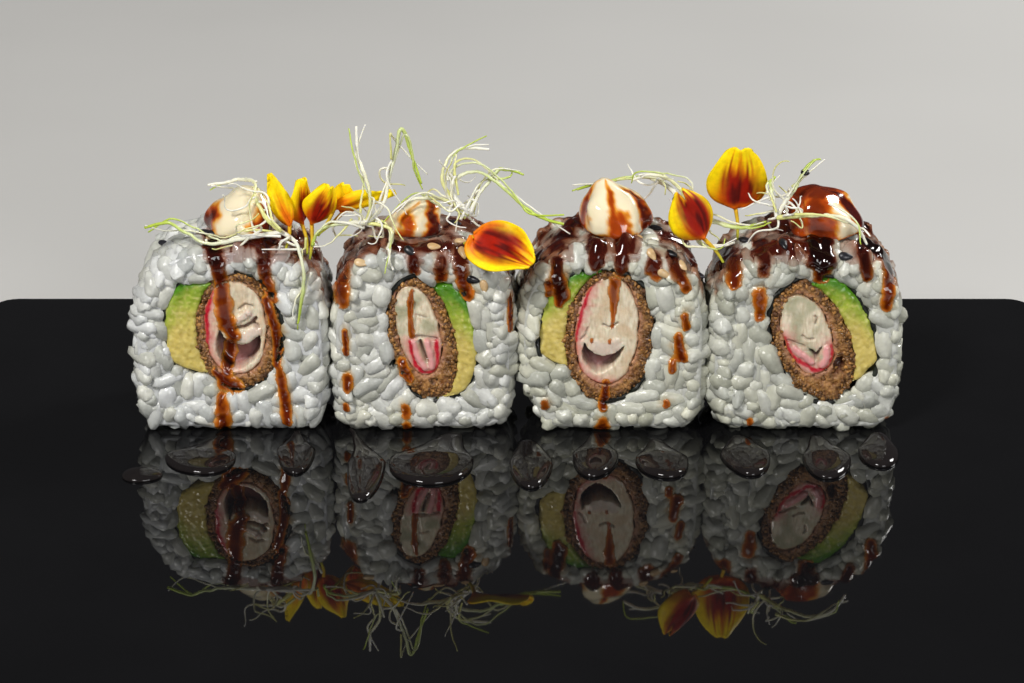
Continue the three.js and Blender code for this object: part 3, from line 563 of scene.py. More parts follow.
def moist_surface_group():
    """Small wet unevenness: a height for a bump, and a roughness that wanders."""
    if "moist surface" in bpy.data.node_groups:
        return bpy.data.node_groups["moist surface"]
    group, given, result = new_group("moist surface", {"Scale": 900.0, "Dry": 0.45, "Wet": 0.15},
                                     {"Height": 0.0, "Roughness": 0.0})
    place = add_node(group, "TexCoord")
    fine = add_node(group, "TexNoise", {"Detail": 4.0})
    broad = add_node(group, "TexNoise", {"Detail": 2.0})
    slower = add_node(group, "Math", {1: 0.22}, operation="MULTIPLY")
    spread = add_node(group, "MapRange", {"From Min": 0.35, "From Max": 0.65})
    wire(group, (place, "Object", fine, "Vector"), (place, "Object", broad, "Vector"),
         (given, "Scale", fine, "Scale"), (given, "Scale", slower, 0), (slower, 0, broad, "Scale"),
         (broad, "Fac", spread, "Value"), (given, "Wet", spread, "To Min"),
         (given, "Dry", spread, "To Max"), (fine, "Fac", result, "Height"),
         (spread, "Result", result, "Roughness"))
    return group


def mottle_group():
    """A colour that wanders between a darker and a lighter shade of itself."""
    if "mottle" in bpy.data.node_groups:
        return bpy.data.node_groups["mottle"]
    grey = (0.8, 0.8, 0.8, 1)
    group, given, result = new_group("mottle", {"Color": grey, "Scale": 400.0, "Amount": 0.3},
                                     {"Color": grey})
    place = add_node(group, "TexCoord")
    cloud = add_node(group, "TexNoise", {"Detail": 3.0})
    swing = add_node(group, "MapRange", {"From Min": 0.3, "From Max": 0.7})
    less = add_node(group, "Math", {0: 1.0}, operation="SUBTRACT")
    more = add_node(group, "Math", {0: 1.0}, operation="ADD")
    scale = add_node(group, "VectorMath", operation="SCALE")
    wire(group, (place, "Object", cloud, "Vector"), (given, "Scale", cloud, "Scale"),
         (cloud, "Fac", swing, "Value"), (given, "Amount", less, 1), (given, "Amount", more, 1),
         (less, 0, swing, "To Min"), (more, 0, swing, "To Max"),
         (given, "Color", scale, 0), (swing, "Result", scale, "Scale"), (scale, 0, result, "Color"))
    return group


def food_material(name, colour=None, wet=0.15, dry=0.45, grain=900.0, bump=0.3, lump=0.0001,
                  mottle=(400.0, 0.12), scatter=0.0, reach=(0.001, 0.0008, 0.0005), coat=0.0,
                  coat_rough=0.1, alpha=False, ior=1.45, shine=0.5):
    """A moist food finish: the piece's own tone, mottled, with a fine bump and a wandering gloss."""
    material = bpy.data.materials.new(name)
    material.use_nodes = True
    tree = material.node_tree
    shader = tree.nodes["Principled BSDF"]
    for key, value in {
        "IOR": ior, "Specular IOR Level": shine, "Coat Weight": coat, "Coat Roughness": coat_rough,
        "Subsurface Weight": scatter, "Subsurface Scale": reach[0],
        "Subsurface Radius": (1.0, reach[1] / reach[0], reach[2] / reach[0]),
    }.items():
        shader.inputs[key].default_value = value
    blotch = add_node(tree, "Group", node_tree=mottle_group())
    blotch.inputs["Scale"].default_value, blotch.inputs["Amount"].default_value = mottle
    if colour is None:
        tone = add_node(tree, "Attribute", attribute_name="tone")
        wire(tree, (tone, "Color", blotch, "Color"))
    else:
        blotch.inputs["Color"].default_value = (*colour, 1)
    skin = add_node(tree, "Group", node_tree=moist_surface_group())
    for key, value in {"Scale": grain, "Dry": dry, "Wet": wet}.items():
        skin.inputs[key].default_value = value
    relief = add_node(tree, "Bump", {"Strength": bump, "Distance": lump})
    wire(tree, (blotch, "Color", shader, "Base Color"), (skin, "Height", relief, "Height"),
         (relief, "Normal", shader, "Normal"), (skin, "Roughness", shader, "Roughness"))
    if alpha:
        cover = add_node(tree, "Attribute", attribute_name="cover")
        wire(tree, (cover, "Fac", shader, "Alpha"))
    return material


# The finish of each food, and of the board and its drops. Lengths are in metres.
FINISHES = {
    "cooked rice": {"wet": 0.1, "dry": 0.3, "grain": 1900, "bump": 0.5, "lump": 0.0002,
                    "mottle": (700.0, 0.08), "scatter": 0.3, "reach": (0.0007, 0.0007, 0.0006)},
    "nori sheet": {"wet": 0.3, "dry": 0.6, "grain": 1200, "bump": 0.5, "lump": 0.0002},
    "fried crumb": {"wet": 0.12, "dry": 0.6, "grain": 2200, "bump": 0.8, "lump": 0.0003,
                    "mottle": (1300.0, 0.25), "scatter": 0.25},
    "crab flesh": {"wet": 0.1, "dry": 0.34, "grain": 1300, "bump": 0.4, "lump": 0.00018, "coat": 0.15,
                   "mottle": (600.0, 0.06), "scatter": 0.4, "reach": (0.0015, 0.0008, 0.0006)},
    "avocado flesh": {"wet": 0.16, "dry": 0.4, "grain": 1100, "bump": 0.45, "lump": 0.00018,
                      "mottle": (500.0, 0.1), "scatter": 0.3, "reach": (0.001, 0.001, 0.0004)},
    "dark sauce": {"wet": 0.03, "dry": 0.09, "grain": 300, "bump": 0.1, "lump": 0.0001,
                   "mottle": (200.0, 0.15), "alpha": True},
    "glazed mayo": {"wet": 0.05, "dry": 0.18, "grain": 200, "bump": 0.08, "lump": 0.0002,
                    "mottle": (150.0, 0.03), "scatter": 0.25, "coat": 0.3, "coat_rough": 0.04},
    "petal blade": {"wet": 0.4, "dry": 0.65, "grain": 1500, "bump": 0.3, "lump": 0.0001,
                    "mottle": (900.0, 0.1), "shine": 0.2},
    "sprout": {"wet": 0.16, "dry": 0.36, "grain": 1500, "bump": 0.15, "lump": 0.00008,
               "mottle": (700.0, 0.08), "scatter": 0.35, "reach": (0.0006, 0.0006, 0.0004)},
    "sesame": {"wet": 0.22, "dry": 0.4, "grain": 2500, "bump": 0.3, "lump": 0.00006,
               "mottle": (900.0, 0.12)},
    "black gloss": {"colour": (0.004, 0.004, 0.0045), "wet": 0.008, "dry": 0.03, "grain": 60,
                    "bump": 0.01, "lump": 0.00002, "mottle": (40.0, 0.1), "ior": 1.5},
    "clear drop": {"colour": (0.012, 0.010, 0.010), "wet": 0.01, "dry": 0.03, "grain": 100,
                   "bump": 0.02, "lump": 0.00002, "ior": 1.36},
}


def finish_named(name):
    """The material of a finish, built when it is first asked for."""
    return bpy.data.materials.get(name) or food_material(name, **FINISHES[name])


# ---- rice -----------------------------------------------------------------------------------

# How deep under the slice's form each layer of grains lies, and how closely they are sown
RICE_LAYERS = ((1.45, 0.5), (2.2, 0.6))
# How far the rice swells past the slice's cut faces
RICE_PROUD = 0.9


def grain_templates():
    """Sixteen cooked grains: blunt, a little flat, bent and dented. Their half lengths are 1."""
    sphere, faces = ball(8, 8)
    sphere = sphere[:, (2, 0, 1)]
    sphere = np.sign(sphere) * np.abs(sphere) ** 0.74
    draws = np.random.default_rng(5)
    shapes = []
    for number in range(16):
        points = sphere.copy()
        x = points[:, 0]
        full = 1.0 - draws.uniform(-0.14, 0.24) * x - draws.uniform(0.0, 0.2) * x ** 2
        points[:, 1] *= full
        points[:, 2] *= full
        points[:, 1] += draws.uniform(-0.14, 0.26) * (x ** 2 - 0.4)
        points *= 1 + 0.34 * rough_field(points, 1.1, number * 3.1)[:, None]
        shapes.append(points)
    return shapes, faces


def window_distance(slice_, points):
    """Signed distance outside the fillings' outline, and the way out of it."""
    stick, out_stick = edge_distance(points, oval_outline(slice_["stick"], STICK_POWER, 0.2, count=72))
    pear, out_pear = edge_distance(points, resampled(avocado_outline(slice_), 0.9))
    nearer = (stick < pear)[:, None]
    return np.minimum(stick, pear), np.where(nearer, out_stick, out_pear)


def field_reader(measure, low, high, step=0.4):
    """Measure a distance and a direction once over a grid, and read it anywhere by mixing neighbours."""
    xs = np.arange(low[0], high[0] + step, step)
    zs = np.arange(low[1], high[1] + step, step)
    grid = np.stack([part.ravel() for part in np.meshgrid(xs, zs, indexing="ij")], axis=1)
    distance, way = measure(grid)
    table = np.column_stack((distance, way)).reshape(len(xs), len(zs), 3)

    def read(points):
        u = np.clip((points[:, 0] - xs[0]) / step, 0, len(xs) - 1.001)
        v = np.clip((points[:, 1] - zs[0]) / step, 0, len(zs) - 1.001)
        i, k = u.astype(int), v.astype(int)
        a, b = (u - i)[:, None], (v - k)[:, None]
        mixed = ((table[i, k] * (1 - a) + table[i + 1, k] * a) * (1 - b)
                 + (table[i, k + 1] * (1 - a) + table[i + 1, k + 1] * a) * b)
        length = np.linalg.norm(mixed[:, 1:], axis=1)[:, None] + 1e-9
        return mixed[:, 0], mixed[:, 1:] / length
    return read


def settle_grains(slice_, size, share, inset, draws, window, steps=42):
    """Lay grains over the slice's faces and wall, and push them apart until they lie side by side."""
    outline = rim_outline(slice_, inset=inset, count=160)
    half_depth = SLICE_DEPTH / 2 + RICE_PROUD - inset
    run = np.linalg.norm(np.roll(outline, -1, axis=0) - outline, axis=1)
    wall_area = run.sum() * 2 * half_depth
    low, high = outline.min(0), outline.max(0)
    rim = field_reader(lambda p: edge_distance(p, outline), low - 3, high + 3)
    trial = draws.uniform(low, high, (6000, 2))
    fits = points_inside(trial, outline) & (window(trial)[0] > 0.9)
    face_area = np.prod(high - low) * fits.mean()
    each = size[0] * size[1] * share
    on_face, on_wall = int(face_area / each), int(wall_area / each)
    flat = trial[fits][: 2 * on_face]
    centres = np.zeros((len(flat) + on_wall, 3))
    centres[: len(flat), 0], centres[: len(flat), 2] = flat[:, 0], flat[:, 1]
    centres[: len(flat), 1] = np.where(np.arange(len(flat)) % 2, half_depth, -half_depth)
    reach = np.concatenate(([0], np.cumsum(run)))
    at = draws.uniform(0, reach[-1], on_wall)
    loop = np.vstack((outline, outline[:1]))
    centres[len(flat):, 0] = np.interp(at, reach, loop[:, 0])
    centres[len(flat):, 2] = np.interp(at, reach, loop[:, 1])
    centres[len(flat):, 1] = draws.uniform(-half_depth, half_depth, on_wall)
    count = len(centres)
    axes = unit(draws.normal(size=(count, 3)))
    offsets = np.array((-1, 0, 1)) * size[0] * 0.3
    width = size[1] * 0.8
    tail = tail_line(slice_)
    for step in range(steps + 1):
        away, normals = shell_push(centres, rim, half_depth)
        centres = centres - away[:, None] * normals
        centres[:, 1] = np.clip(centres[:, 1], -half_depth, half_depth)
        lean = (axes * normals).sum(1)[:, None] * normals
        axes = unit(axes - lean * (0.5 if step < steps else 0.3))
        if step == steps:
            break
        beads = centres[:, None] + offsets[None, :, None] * axes[:, None]
        gap = np.linalg.norm(centres[:, None] - centres[None], axis=2)
        first, second = np.nonzero(np.triu(gap < size[0] + width, 1))
        apart = beads[first][:, :, None] - beads[second][:, None]
        distance = np.linalg.norm(apart, axis=3) + 1e-9
        overlap = np.clip(width - distance, 0, None)
        push = apart / distance[..., None] * overlap[..., None] * 0.28
        force = np.zeros((count, 3, 3))
        np.add.at(force, first, push.sum(2))
        np.add.at(force, second, -push.sum(1))
        at_face = np.abs(beads.reshape(-1, 3)[:, 1]) > half_depth - 3
        seen = beads.reshape(-1, 3)[:, (0, 2)]
        depth, outward = window(seen)
        near = 0.6 * np.clip(size[1] * 0.56 - depth, 0, None)
        close = 0.5 * np.clip(size[1] * 0.38 - line_distance(seen, tail), 0, None)
        close *= np.where(tail_side(seen, slice_) > 0, 1, -1)
        shove = outward * ((near + close) * at_face)[:, None]
        force[:, :, (0, 2)] += shove.reshape(count, 3, 2)
        centres = centres + force.mean(1)
        ends = (force[:, 2] - force[:, 0]) / (size[0] * 0.6)
        axes = unit(axes + ends)
    _, normals = shell_push(centres, rim, half_depth)
    return centres, axes, normals


def shell_push(points, rim, half_depth, corner=2.2):
    """Distance from the shell of a run-through outline with round edges, and its normal."""
    across, outward = rim(points[:, (0, 2)])
    deep = np.abs(points[:, 1]) - half_depth
    qa, qb = across + corner, deep + corner
    both = (qa > 0) & (qb > 0)
    length = np.hypot(qa, qb) + 1e-9
    away = np.where(both, length, np.maximum(qa, qb)) - corner
    ga = np.where(both, qa / length, (qa >= qb).astype(float))
    gb = np.where(both, qb / length, (qa < qb).astype(float))
    side = np.where(points[:, 1] < 0, -1, 1)
    return away, np.stack((outward[:, 0] * ga, side * gb, outward[:, 1] * ga), axis=1)


def tail_line(slice_, count=14):
    """Where the nori's free end runs out into the rice."""
    start, end, reach = slice_["tail"]
    share = np.linspace(0, 1, count)
    angle = start + (end - start) * share
    away = reach * np.sin(share * np.pi / 2) ** 1.4
    r = oval_radius(slice_["cavity"], angle, CAVITY_POWER) - NORI_THICK / 2 + away
    return slice_["cavity"][:2] + r[:, None] * np.stack((np.cos(angle), np.sin(angle)), axis=1)


def tail_side(points, slice_):
    """Positive beyond the tail, less than nothing between it and the ring."""
    start, end, reach = slice_["tail"]
    dx, dz = points[:, 0] - slice_["cavity"][0], points[:, 1] - slice_["cavity"][1]
    angle = np.arctan2(dz, dx)
    if end > np.pi or start > 2:
        angle = np.where(angle < 0, angle + 2 * np.pi, angle)
    share = np.clip((angle - start) / (end - start), 0, 1)
    away = reach * np.sin(share * np.pi / 2) ** 1.4
    return np.hypot(dx, dz) - oval_radius(slice_["cavity"], angle, CAVITY_POWER) - away


def rice_grains(slice_, draws, settings):
    """Two layers of settled grains, each grain a turned copy of one of the templates."""
    templates, template_faces = grain_templates()
    size = (settings.grain_length / MM, settings.grain_width / MM)
    # Painted light: the per-slice factor lifts the first slice's rice where the key light falls on it; on
    # the others it makes the rice a little warmer.
    rice_tint_and_light = np.array(settings.rice_colour) * slice_["rice_tint_and_light"]
    window = field_reader(lambda p: window_distance(slice_, p), (-26, -3), (26, 46))
    parts, tones = [], []
    for inset, share in RICE_LAYERS:
        centres, axes, normals = settle_grains(slice_, size, share, inset, draws, window)
        for centre, axis, normal in zip(centres, axes, normals):
            axis = axis + normal * draws.normal(0, 0.16)
            axis /= np.linalg.norm(axis)
            side = np.cross(normal, axis)
            side /= np.linalg.norm(side)
            over = np.cross(axis, side)
            length = size[0] / 2 * draws.uniform(0.74, 1.16)
            wide = size[1] / 2 * draws.uniform(0.95, 1.3)
            thick = size[1] / 2 * draws.uniform(0.82, 1.05)
            lift = draws.normal(0, 0.2)
            flip = draws.choice((-1, 1))
            template = templates[draws.integers(len(templates))]
            local = template * (length * flip, wide * flip, thick)
            points = centre + normal * lift + local @ np.stack((axis, side, over))
            parts.append((points, template_faces))
            tone = blend(rice_tint_and_light, rice_tint_and_light * (0.66, 0.67, 0.65), draws.uniform(0, 1) ** 1.3)[None]
            tone = blend(tone, tone * (0.98, 0.96, 0.86), draws.uniform(0, 1))
            clear = rough_field(points, 0.5, draws.uniform(0, 40))
            tones.append(tone * (0.93 + 0.2 * clear - 0.14 * template[:, 2])[:, None])
    points, faces = stacked(parts)
    return points, faces, np.vstack(tones)


def rice_core(slice_):
    """What lies under the grains: the same form, drawn in and rough."""
    seed = slice_["seed"]

    def relief(flat):
        return 0.6 + 0.3 * rough_field(flat, 0.45, seed) + 0.25 * rough_field(flat, 1.3, seed)
    rim = rim_outline(slice_, inset=1.15)
    hole = oval_outline(slice_["cavity"], CAVITY_POWER, 0.6)
    return cut_slab(rim, hole, 0.8, SLICE_DEPTH / 2 + RICE_PROUD, relief, seed)


def make_rice(slice_, index, material, settings):
    """The grains, the core under them and the stain that sauce leaves on both."""
    points, faces, tone = rice_grains(slice_, np.random.default_rng(slice_["seed"]), settings)
    core, core_faces, _ = rice_core(slice_)
    core_tone = np.repeat(np.array(settings.rice_colour)[None] * 0.72 * slice_["rice_tint_and_light"], len(core), axis=0)
    points, faces = stacked([(points, faces), (core, core_faces)])
    tone = np.vstack((tone, core_tone))
    points[:, 2] = np.maximum(points[:, 2], -0.28)
    stain, low = stain_of(slice_, points)
    soaked = blend(tint(190, 128, 96), tint(236, 192, 124), low)
    tone = blend(tone, tone * soaked, stain * 0.9)
    make_piece(f"rice_grains_{index}", slice_place(slice_, points), faces, material,
               nodes=(f"rice_{index}",), tone=tone)
    return points, faces


# ---- sauce ----------------------------------------------------------------------------------

def stroke_depth(slice_, x, down):
    """How thick the sauce lies at (x, down), and how near that place is to the middle of a stroke."""
    seed = slice_["seed"]
    places = np.stack((x, down), axis=1)
    wander = 1 + 0.36 * rough_field(places, 0.5, seed) + 0.14 * rough_field(places, 1.4, seed)
    depth, middle = np.zeros(len(x)), np.zeros(len(x))
    for stroke in slice_["strokes"]:
        points = np.array(stroke, dtype=float)
        for a, b in zip(points[:-1], points[1:]):
            run = b[:2] - a[:2]
            share = np.clip(((places - a[:2]) * run).sum(1) / max((run ** 2).sum(), 1e-9), 0, 1)
            gap = np.linalg.norm(places - (a[:2] + share[:, None] * run), axis=1)
            radius = (a[2] + share * (b[2] - a[2])) * wander
            thick = a[3] + share * (b[3] - a[3])
            depth = np.maximum(depth, thick * np.sqrt(np.clip(1 - (gap / radius) ** 2, 0, 1)))
            middle = np.maximum(middle, np.clip(1 - gap / radius, 0, 1))
    patch = rough_field(places * (1, 0.8), 0.22, seed + 3.7)
    reach = ramp(-down, -3.4, 1.0) * ramp(x, slice_["cover_from"], slice_["cover_from"] + 3)
    cover = (0.14 + 0.26 * ramp(patch, -0.1, 0.35)) * ramp(patch, -0.4, -0.05) * reach * slice_["cover"]
    return np.maximum(depth, cover), middle


# The smooth form that sauce is measured from: its round front edge, and how far it stands proud
FILM_CORNER = 3.0
FILM_PROUD = 0.5
# In front of this depth a point of the rice is on the cut face, behind it on the top
FACE_EDGE = -9.5


def film_frame(slice_, x, down):
    """Where a place (x, down) lies on the slice's smooth form, and the way out of it there."""
    rim = rim_outline(slice_)
    upper = rim[rim[:, 1] > RIM_MIDDLE]
    upper = upper[upper[:, 0].argsort()]
    top = np.interp(x, upper[:, 0], upper[:, 1])
    half_arc = FILM_CORNER * math.pi / 4
    t = down - (SLICE_HEIGHT - top)
    angle = np.clip((t + half_arc) / (2 * half_arc), 0, 1) * math.pi / 2
    face = -SLICE_DEPTH / 2 - FILM_PROUD
    y = face + FILM_CORNER - FILM_CORNER * np.sin(angle) + np.clip(-half_arc - t, 0, None)
    z = top - FILM_CORNER + FILM_CORNER * np.cos(angle) - np.clip(t - half_arc, 0, None)
    base = np.stack((x, y, z), axis=1)
    normal = np.stack((np.zeros(len(x)), -np.sin(angle), np.cos(angle)), axis=1)
    return base, normal


def stain_of(slice_, points):
    """How strongly sauce has coloured each point of the rice, and how far down the face it is."""
    y, z = points[:, 1], points[:, 2]
    down = np.where(y > FACE_EDGE, -(y - FACE_EDGE) - 1.0, SLICE_HEIGHT - z)
    facing = (z > SLICE_HEIGHT * 0.72) | (y < FACE_EDGE)
    total = np.zeros(len(points))
    for dx, dd in ((0, 0), (0.7, 0), (-0.7, 0), (0, 0.8), (0, -0.8)):
        total += stroke_depth(slice_, points[:, 0] + dx, down + dd)[0]
    return np.where(facing, ramp(total / 5, 0.02, 0.3), 0), ramp(down, 2.5, 9.0)


# The film's grid spacing, the least depth that counts as sauce, and how far out a ray starts and runs
FILM_STEP = 0.3
FILM_LEAST = 0.015
CAST_FROM = 6
CAST_LENGTH = 13.5


def make_sauce(slice_, index, carriers, material, settings):
    """A film that lies on whatever is under it, thick in the valleys and thin on the grains."""
    xs = np.arange(-slice_["half_width"], slice_["half_width"], FILM_STEP)
    downs = np.arange(-19, 43, FILM_STEP)
    grid_x, grid_d = np.meshgrid(xs, downs, indexing="ij")
    shape = grid_x.shape
    x, down = grid_x.ravel(), grid_d.ravel()
    thick, middle = (values.reshape(shape) for values in stroke_depth(slice_, x, down))
    wanted = thick > FILM_LEAST
    grown = wanted.copy()
    for axis in (0, 1):
        for way in (1, -1):
            grown |= np.roll(wanted, way, axis=axis)
    base, normal = film_frame(slice_, x, down)
    height = np.full(len(x), np.nan)
    for i in np.nonzero(grown.ravel())[0]:
        start = Vector(base[i] + normal[i] * CAST_FROM)
        hit = carriers.ray_cast(start, Vector(-normal[i]), CAST_LENGTH)
        if hit[0] is not None:
            height[i] = CAST_FROM - hit[3]
    height = height.reshape(shape)
    known = ~np.isnan(height)
    level, weight = np.where(known, height, 0), known.astype(float)
    for _ in range(3):
        for axis in (0, 1):
            level = level + np.roll(level, 1, axis=axis) + np.roll(level, -1, axis=axis)
            weight = weight + np.roll(weight, 1, axis=axis) + np.roll(weight, -1, axis=axis)
    level = level / np.maximum(weight, 1e-9)
    surface = np.maximum(height + 0.06 + 0.3 * thick, level + thick)
    surface = np.where(wanted, surface, height - 0.3)
    seen = np.clip(surface - height, 0, 3)
    valid = known & grown
    index_of = -np.ones(shape, dtype=int)
    index_of[valid] = np.arange(valid.sum())
    points = (base.reshape(*shape, 3) + normal.reshape(*shape, 3) * surface[..., None])[valid]
    faces = []
    for i in range(shape[0] - 1):
        for k in range(shape[1] - 1):
            ring = (index_of[i, k], index_of[i, k + 1], index_of[i + 1, k + 1], index_of[i + 1, k])
            if min(ring) >= 0 and wanted[i: i + 2, k: k + 2].any():
                faces.append(tuple(int(n) for n in ring))
    depth = 0.6 * seen[valid] + 0.55 * thick[valid]
    thickest = np.array(settings.sauce_colour)
    inner = middle[valid] + 0.1 * rough_field(points, 1.1, slice_["seed"])
    amber = blend(tint(228, 160, 58), tint(190, 98, 14), ramp(inner, 0.0, 0.34))
    amber = blend(amber, tint(92, 28, 6), ramp(inner, 0.14, 0.74) * (0.4 + 0.6 * ramp(depth, 0.16, 0.5)))
    brown = blend(tint(142, 70, 40), tint(66, 20, 12), ramp(depth, 0.14, 0.42))
    low = ramp(grid_d[valid], 1.5, 9.0)
    tone = blend(brown, amber, low)
    tone = blend(tone, thickest, ramp(depth, 0.42 + 0.12 * low, 0.85 + 0.45 * low))
    cover_low = 0.36 + 0.58 * ramp(depth, 0.04, 0.28) * ramp(inner, -0.1, 0.4)
    cover_top = 0.3 + 0.66 * ramp(depth, 0.16, 0.5)
    cover = cover_top * (1 - low) + cover_low * low
    cover = np.where(wanted[valid], cover, 0.0)
    film = make_piece(f"sauce_{index}", slice_place(slice_, points), faces, material,
                      tone=tone, masks={"cover": cover})
    close_film(film)


def close_film(obj):
    """Drop loose points and give the film its underside."""
    deselect()
    obj.select_set(True)
    bpy.context.view_layer.objects.active = obj
    bpy.ops.object.mode_set(mode="EDIT")
    bpy.ops.mesh.select_all(action="SELECT")
    bpy.ops.mesh.delete_loose()
    bpy.ops.object.mode_set(mode="OBJECT")
    apply_modifier(obj, "SOLIDIFY", thickness=0.0003, offset=-1)


# ---- fillings -------------------------------------------------------------------------------

def edge_roll(flat, loops, width, depth):
    """How far a cut face falls away near its edges."""
    fall = np.zeros(len(flat))
    for loop in loops:
        gap = np.abs(edge_distance(flat, loop)[0])
        fall = np.maximum(fall, depth * np.clip(1 - gap / width, 0, 1) ** 2)
    return fall


def wavy(outline, amount, seed, waves=(7, 13, 29)):
    """The outline with waves of the given amount, so many of each kind round it."""
    centre = outline.mean(0)
    arm = outline - centre
    angle = np.arctan2(arm[:, 1], arm[:, 0])
    wave = sum(np.sin(n * angle + seed * (k + 1.3)) / (k + 1) for k, n in enumerate(waves))
    return centre + arm * (1 + amount * wave / np.linalg.norm(arm, axis=1))[:, None]


def make_nori(slice_, index, material):
    """The sheet of nori round the fillings, with its free end in the rice."""
    seed = slice_["seed"]

    def relief(flat):
        return 0.5 * rough_field(flat, 0.35, seed) + 0.2 * rough_field(flat, 1.1, seed)
    outer = wavy(oval_outline(slice_["cavity"], CAVITY_POWER, 0.3), 0.2, seed)
    inner = wavy(oval_outline(slice_["cavity"], CAVITY_POWER, -NORI_THICK), 0.12, seed)
    ring = cut_slab(outer, inner, 0.5, SLICE_DEPTH / 2 - 0.15, relief, seed)
    line = tail_line(slice_, 30)
    along = unit(np.gradient(line, axis=0))
    side = np.stack((along[:, 1], -along[:, 0]), axis=1)
    half = NORI_THICK * (0.6 + 0.35 * rough_field(line, 0.5, seed))[:, None]
    tail_rim = anticlockwise(np.vstack((line + side * half, (line - side * half)[::-1])))
    tail = cut_slab(tail_rim, None, 0.5, SLICE_DEPTH / 2 + 0.1,
                    lambda flat: 0.5 * rough_field(flat, 0.4, seed), seed)
    points, faces = stacked([ring[:2], tail[:2]])
    flat = points[:, (0, 2)]
    tone = blend(tint(12, 15, 12), tint(38, 44, 34), ramp(rough_field(flat, 0.8, seed), -0.2, 0.8))
    make_piece(f"nori_sheet_{index}", slice_place(slice_, points), faces, material,
               nodes=(f"nori_{index}",), tone=tone)


def anticlockwise(outline):
    """The outline, turned round where it runs clockwise."""
    outline = np.asarray(outline, dtype=float)
    after = np.roll(outline, -1, axis=0)
    area = (outline[:, 0] * after[:, 1] - after[:, 0] * outline[:, 1]).sum()
    return outline if area > 0 else outline[::-1]


def room_outline(slice_, inset):
    """The room inside the nori."""
    return oval_outline(slice_["cavity"], CAVITY_POWER, -NORI_THICK - inset, count=240)


def crumb_rim(slice_):
    """The stick's crumbed edge, kept inside the nori."""
    seed = slice_["seed"]
    rim = wavy(oval_outline(slice_["stick"], STICK_POWER, 0.0, count=240), 0.34, seed, (9, 17, 31))
    inside = points_inside(rim, room_outline(slice_, 0.1))
    centre = np.array(slice_["cavity"][:2])
    arm = rim - centre
    length = np.linalg.norm(arm, axis=1)
    angle = np.arctan2(arm[:, 1], arm[:, 0])
    limit = oval_radius(slice_["cavity"], angle, CAVITY_POWER) - NORI_THICK - 0.15
    return centre + arm * np.where(inside, 1, np.minimum(1, limit / length))[:, None]


def make_crumb(slice_, index, material):
    """The crumb coat: a rough, browned ring with flakes fused to its cut face."""
    seed = slice_["seed"]
    rim = crumb_rim(slice_)
    hole = wavy(oval_outline(slice_["crab"], CRAB_POWER, 0.1, count=160), 0.2, seed + 1)
    pocket = anticlockwise(slice_["pocket"]) if slice_["pocket"] else None

    def relief(flat):
        fall = edge_roll(flat, (rim,), 0.8, 0.45) + edge_roll(flat, (hole,), 0.5, 0.2)
        if pocket is not None:
            fall = fall + 2.2 * ramp(-edge_distance(flat, pocket)[0], -0.1, 0.8)
        lumps = 0.42 * rough_field(flat, 0.7, seed) + 0.6 * np.abs(rough_field(flat, 1.2, seed + 2))
        return fall + lumps + 0.22 * rough_field(flat, 3.4, seed + 6)
    points, faces, flat = cut_slab(rim, hole, 0.3, SLICE_DEPTH / 2 + 0.4, relief, seed)
    crust = 1 - ramp(np.abs(edge_distance(flat, rim)[0]), 0.3, 2.4)
    cloud = rough_field(flat, 0.5, seed + 3)
    pit = 1 - ramp(np.abs(rough_field(flat, 1.2, seed + 2)), 0.0, 0.25)
    speck = rough_field(flat, 1.1, seed + 4)
    tone = blend(tint(160, 112, 64), tint(116, 72, 36), ramp(cloud, -0.3, 0.5))
    tone = blend(tone, tint(80, 46, 20), np.clip(crust, 0, 1))
    tone = blend(tone, tint(204, 160, 98), pit * 0.35)
    tone = blend(tone, tint(58, 34, 16), ramp(speck, 0.05, 0.45) * (0.3 + 0.55 * crust))
    near_crab = 1 - ramp(np.abs(edge_distance(flat, hole)[0]), 0.1, 1.3)
    tone = blend(tone, tint(172, 124, 98), near_crab * 0.6)
    # Painted shade: the inside of the pocket, a hole in the coat, is painted dark brown.
    if pocket is not None:
        tone = blend(tone, tint(84, 48, 36), ramp(-edge_distance(flat, pocket)[0], -0.2, 0.7))
    draws = np.random.default_rng(seed + 5)
    nub, nub_faces = template_of(bpy.ops.mesh.primitive_ico_sphere_add, subdivisions=1, radius=1)
    front = np.nonzero((points[:, 1] < 0))[0]
    weight = 0.08 + crust[front] ** 2
    picks = draws.choice(front, 420, p=weight / weight.sum())
    parts, tones = [(points, faces)], [tone]
    for i in picks:
        shape = nub * draws.uniform(0.22, 0.6) * draws.uniform(0.6, 1.3, 3)
        shape = shape * (1 + 0.3 * draws.uniform(-1, 1, (len(nub), 1)))
        centre = points[i] + (0, draws.uniform(-0.05, 0.2), 0)
        inward = np.array(slice_["stick"][:2]) - centre[[0, 2]]
        inward = inward / np.linalg.norm(inward) * draws.uniform(-0.1, 0.3)
        centre = centre + (inward[0], 0, inward[1])
        parts.append((shape + centre, nub_faces))
        shade = blend(tint(184, 132, 72), tint(76, 44, 20), draws.uniform(0, 1) ** 0.8)
        tones.append(np.repeat(shade[None], len(nub), axis=0))
    points, faces = stacked(parts)
    make_piece(f"crumb_coat_{index}", slice_place(slice_, points), faces, material,
               nodes=(f"crumb_{index}",), tone=np.vstack(tones))
    return points, faces


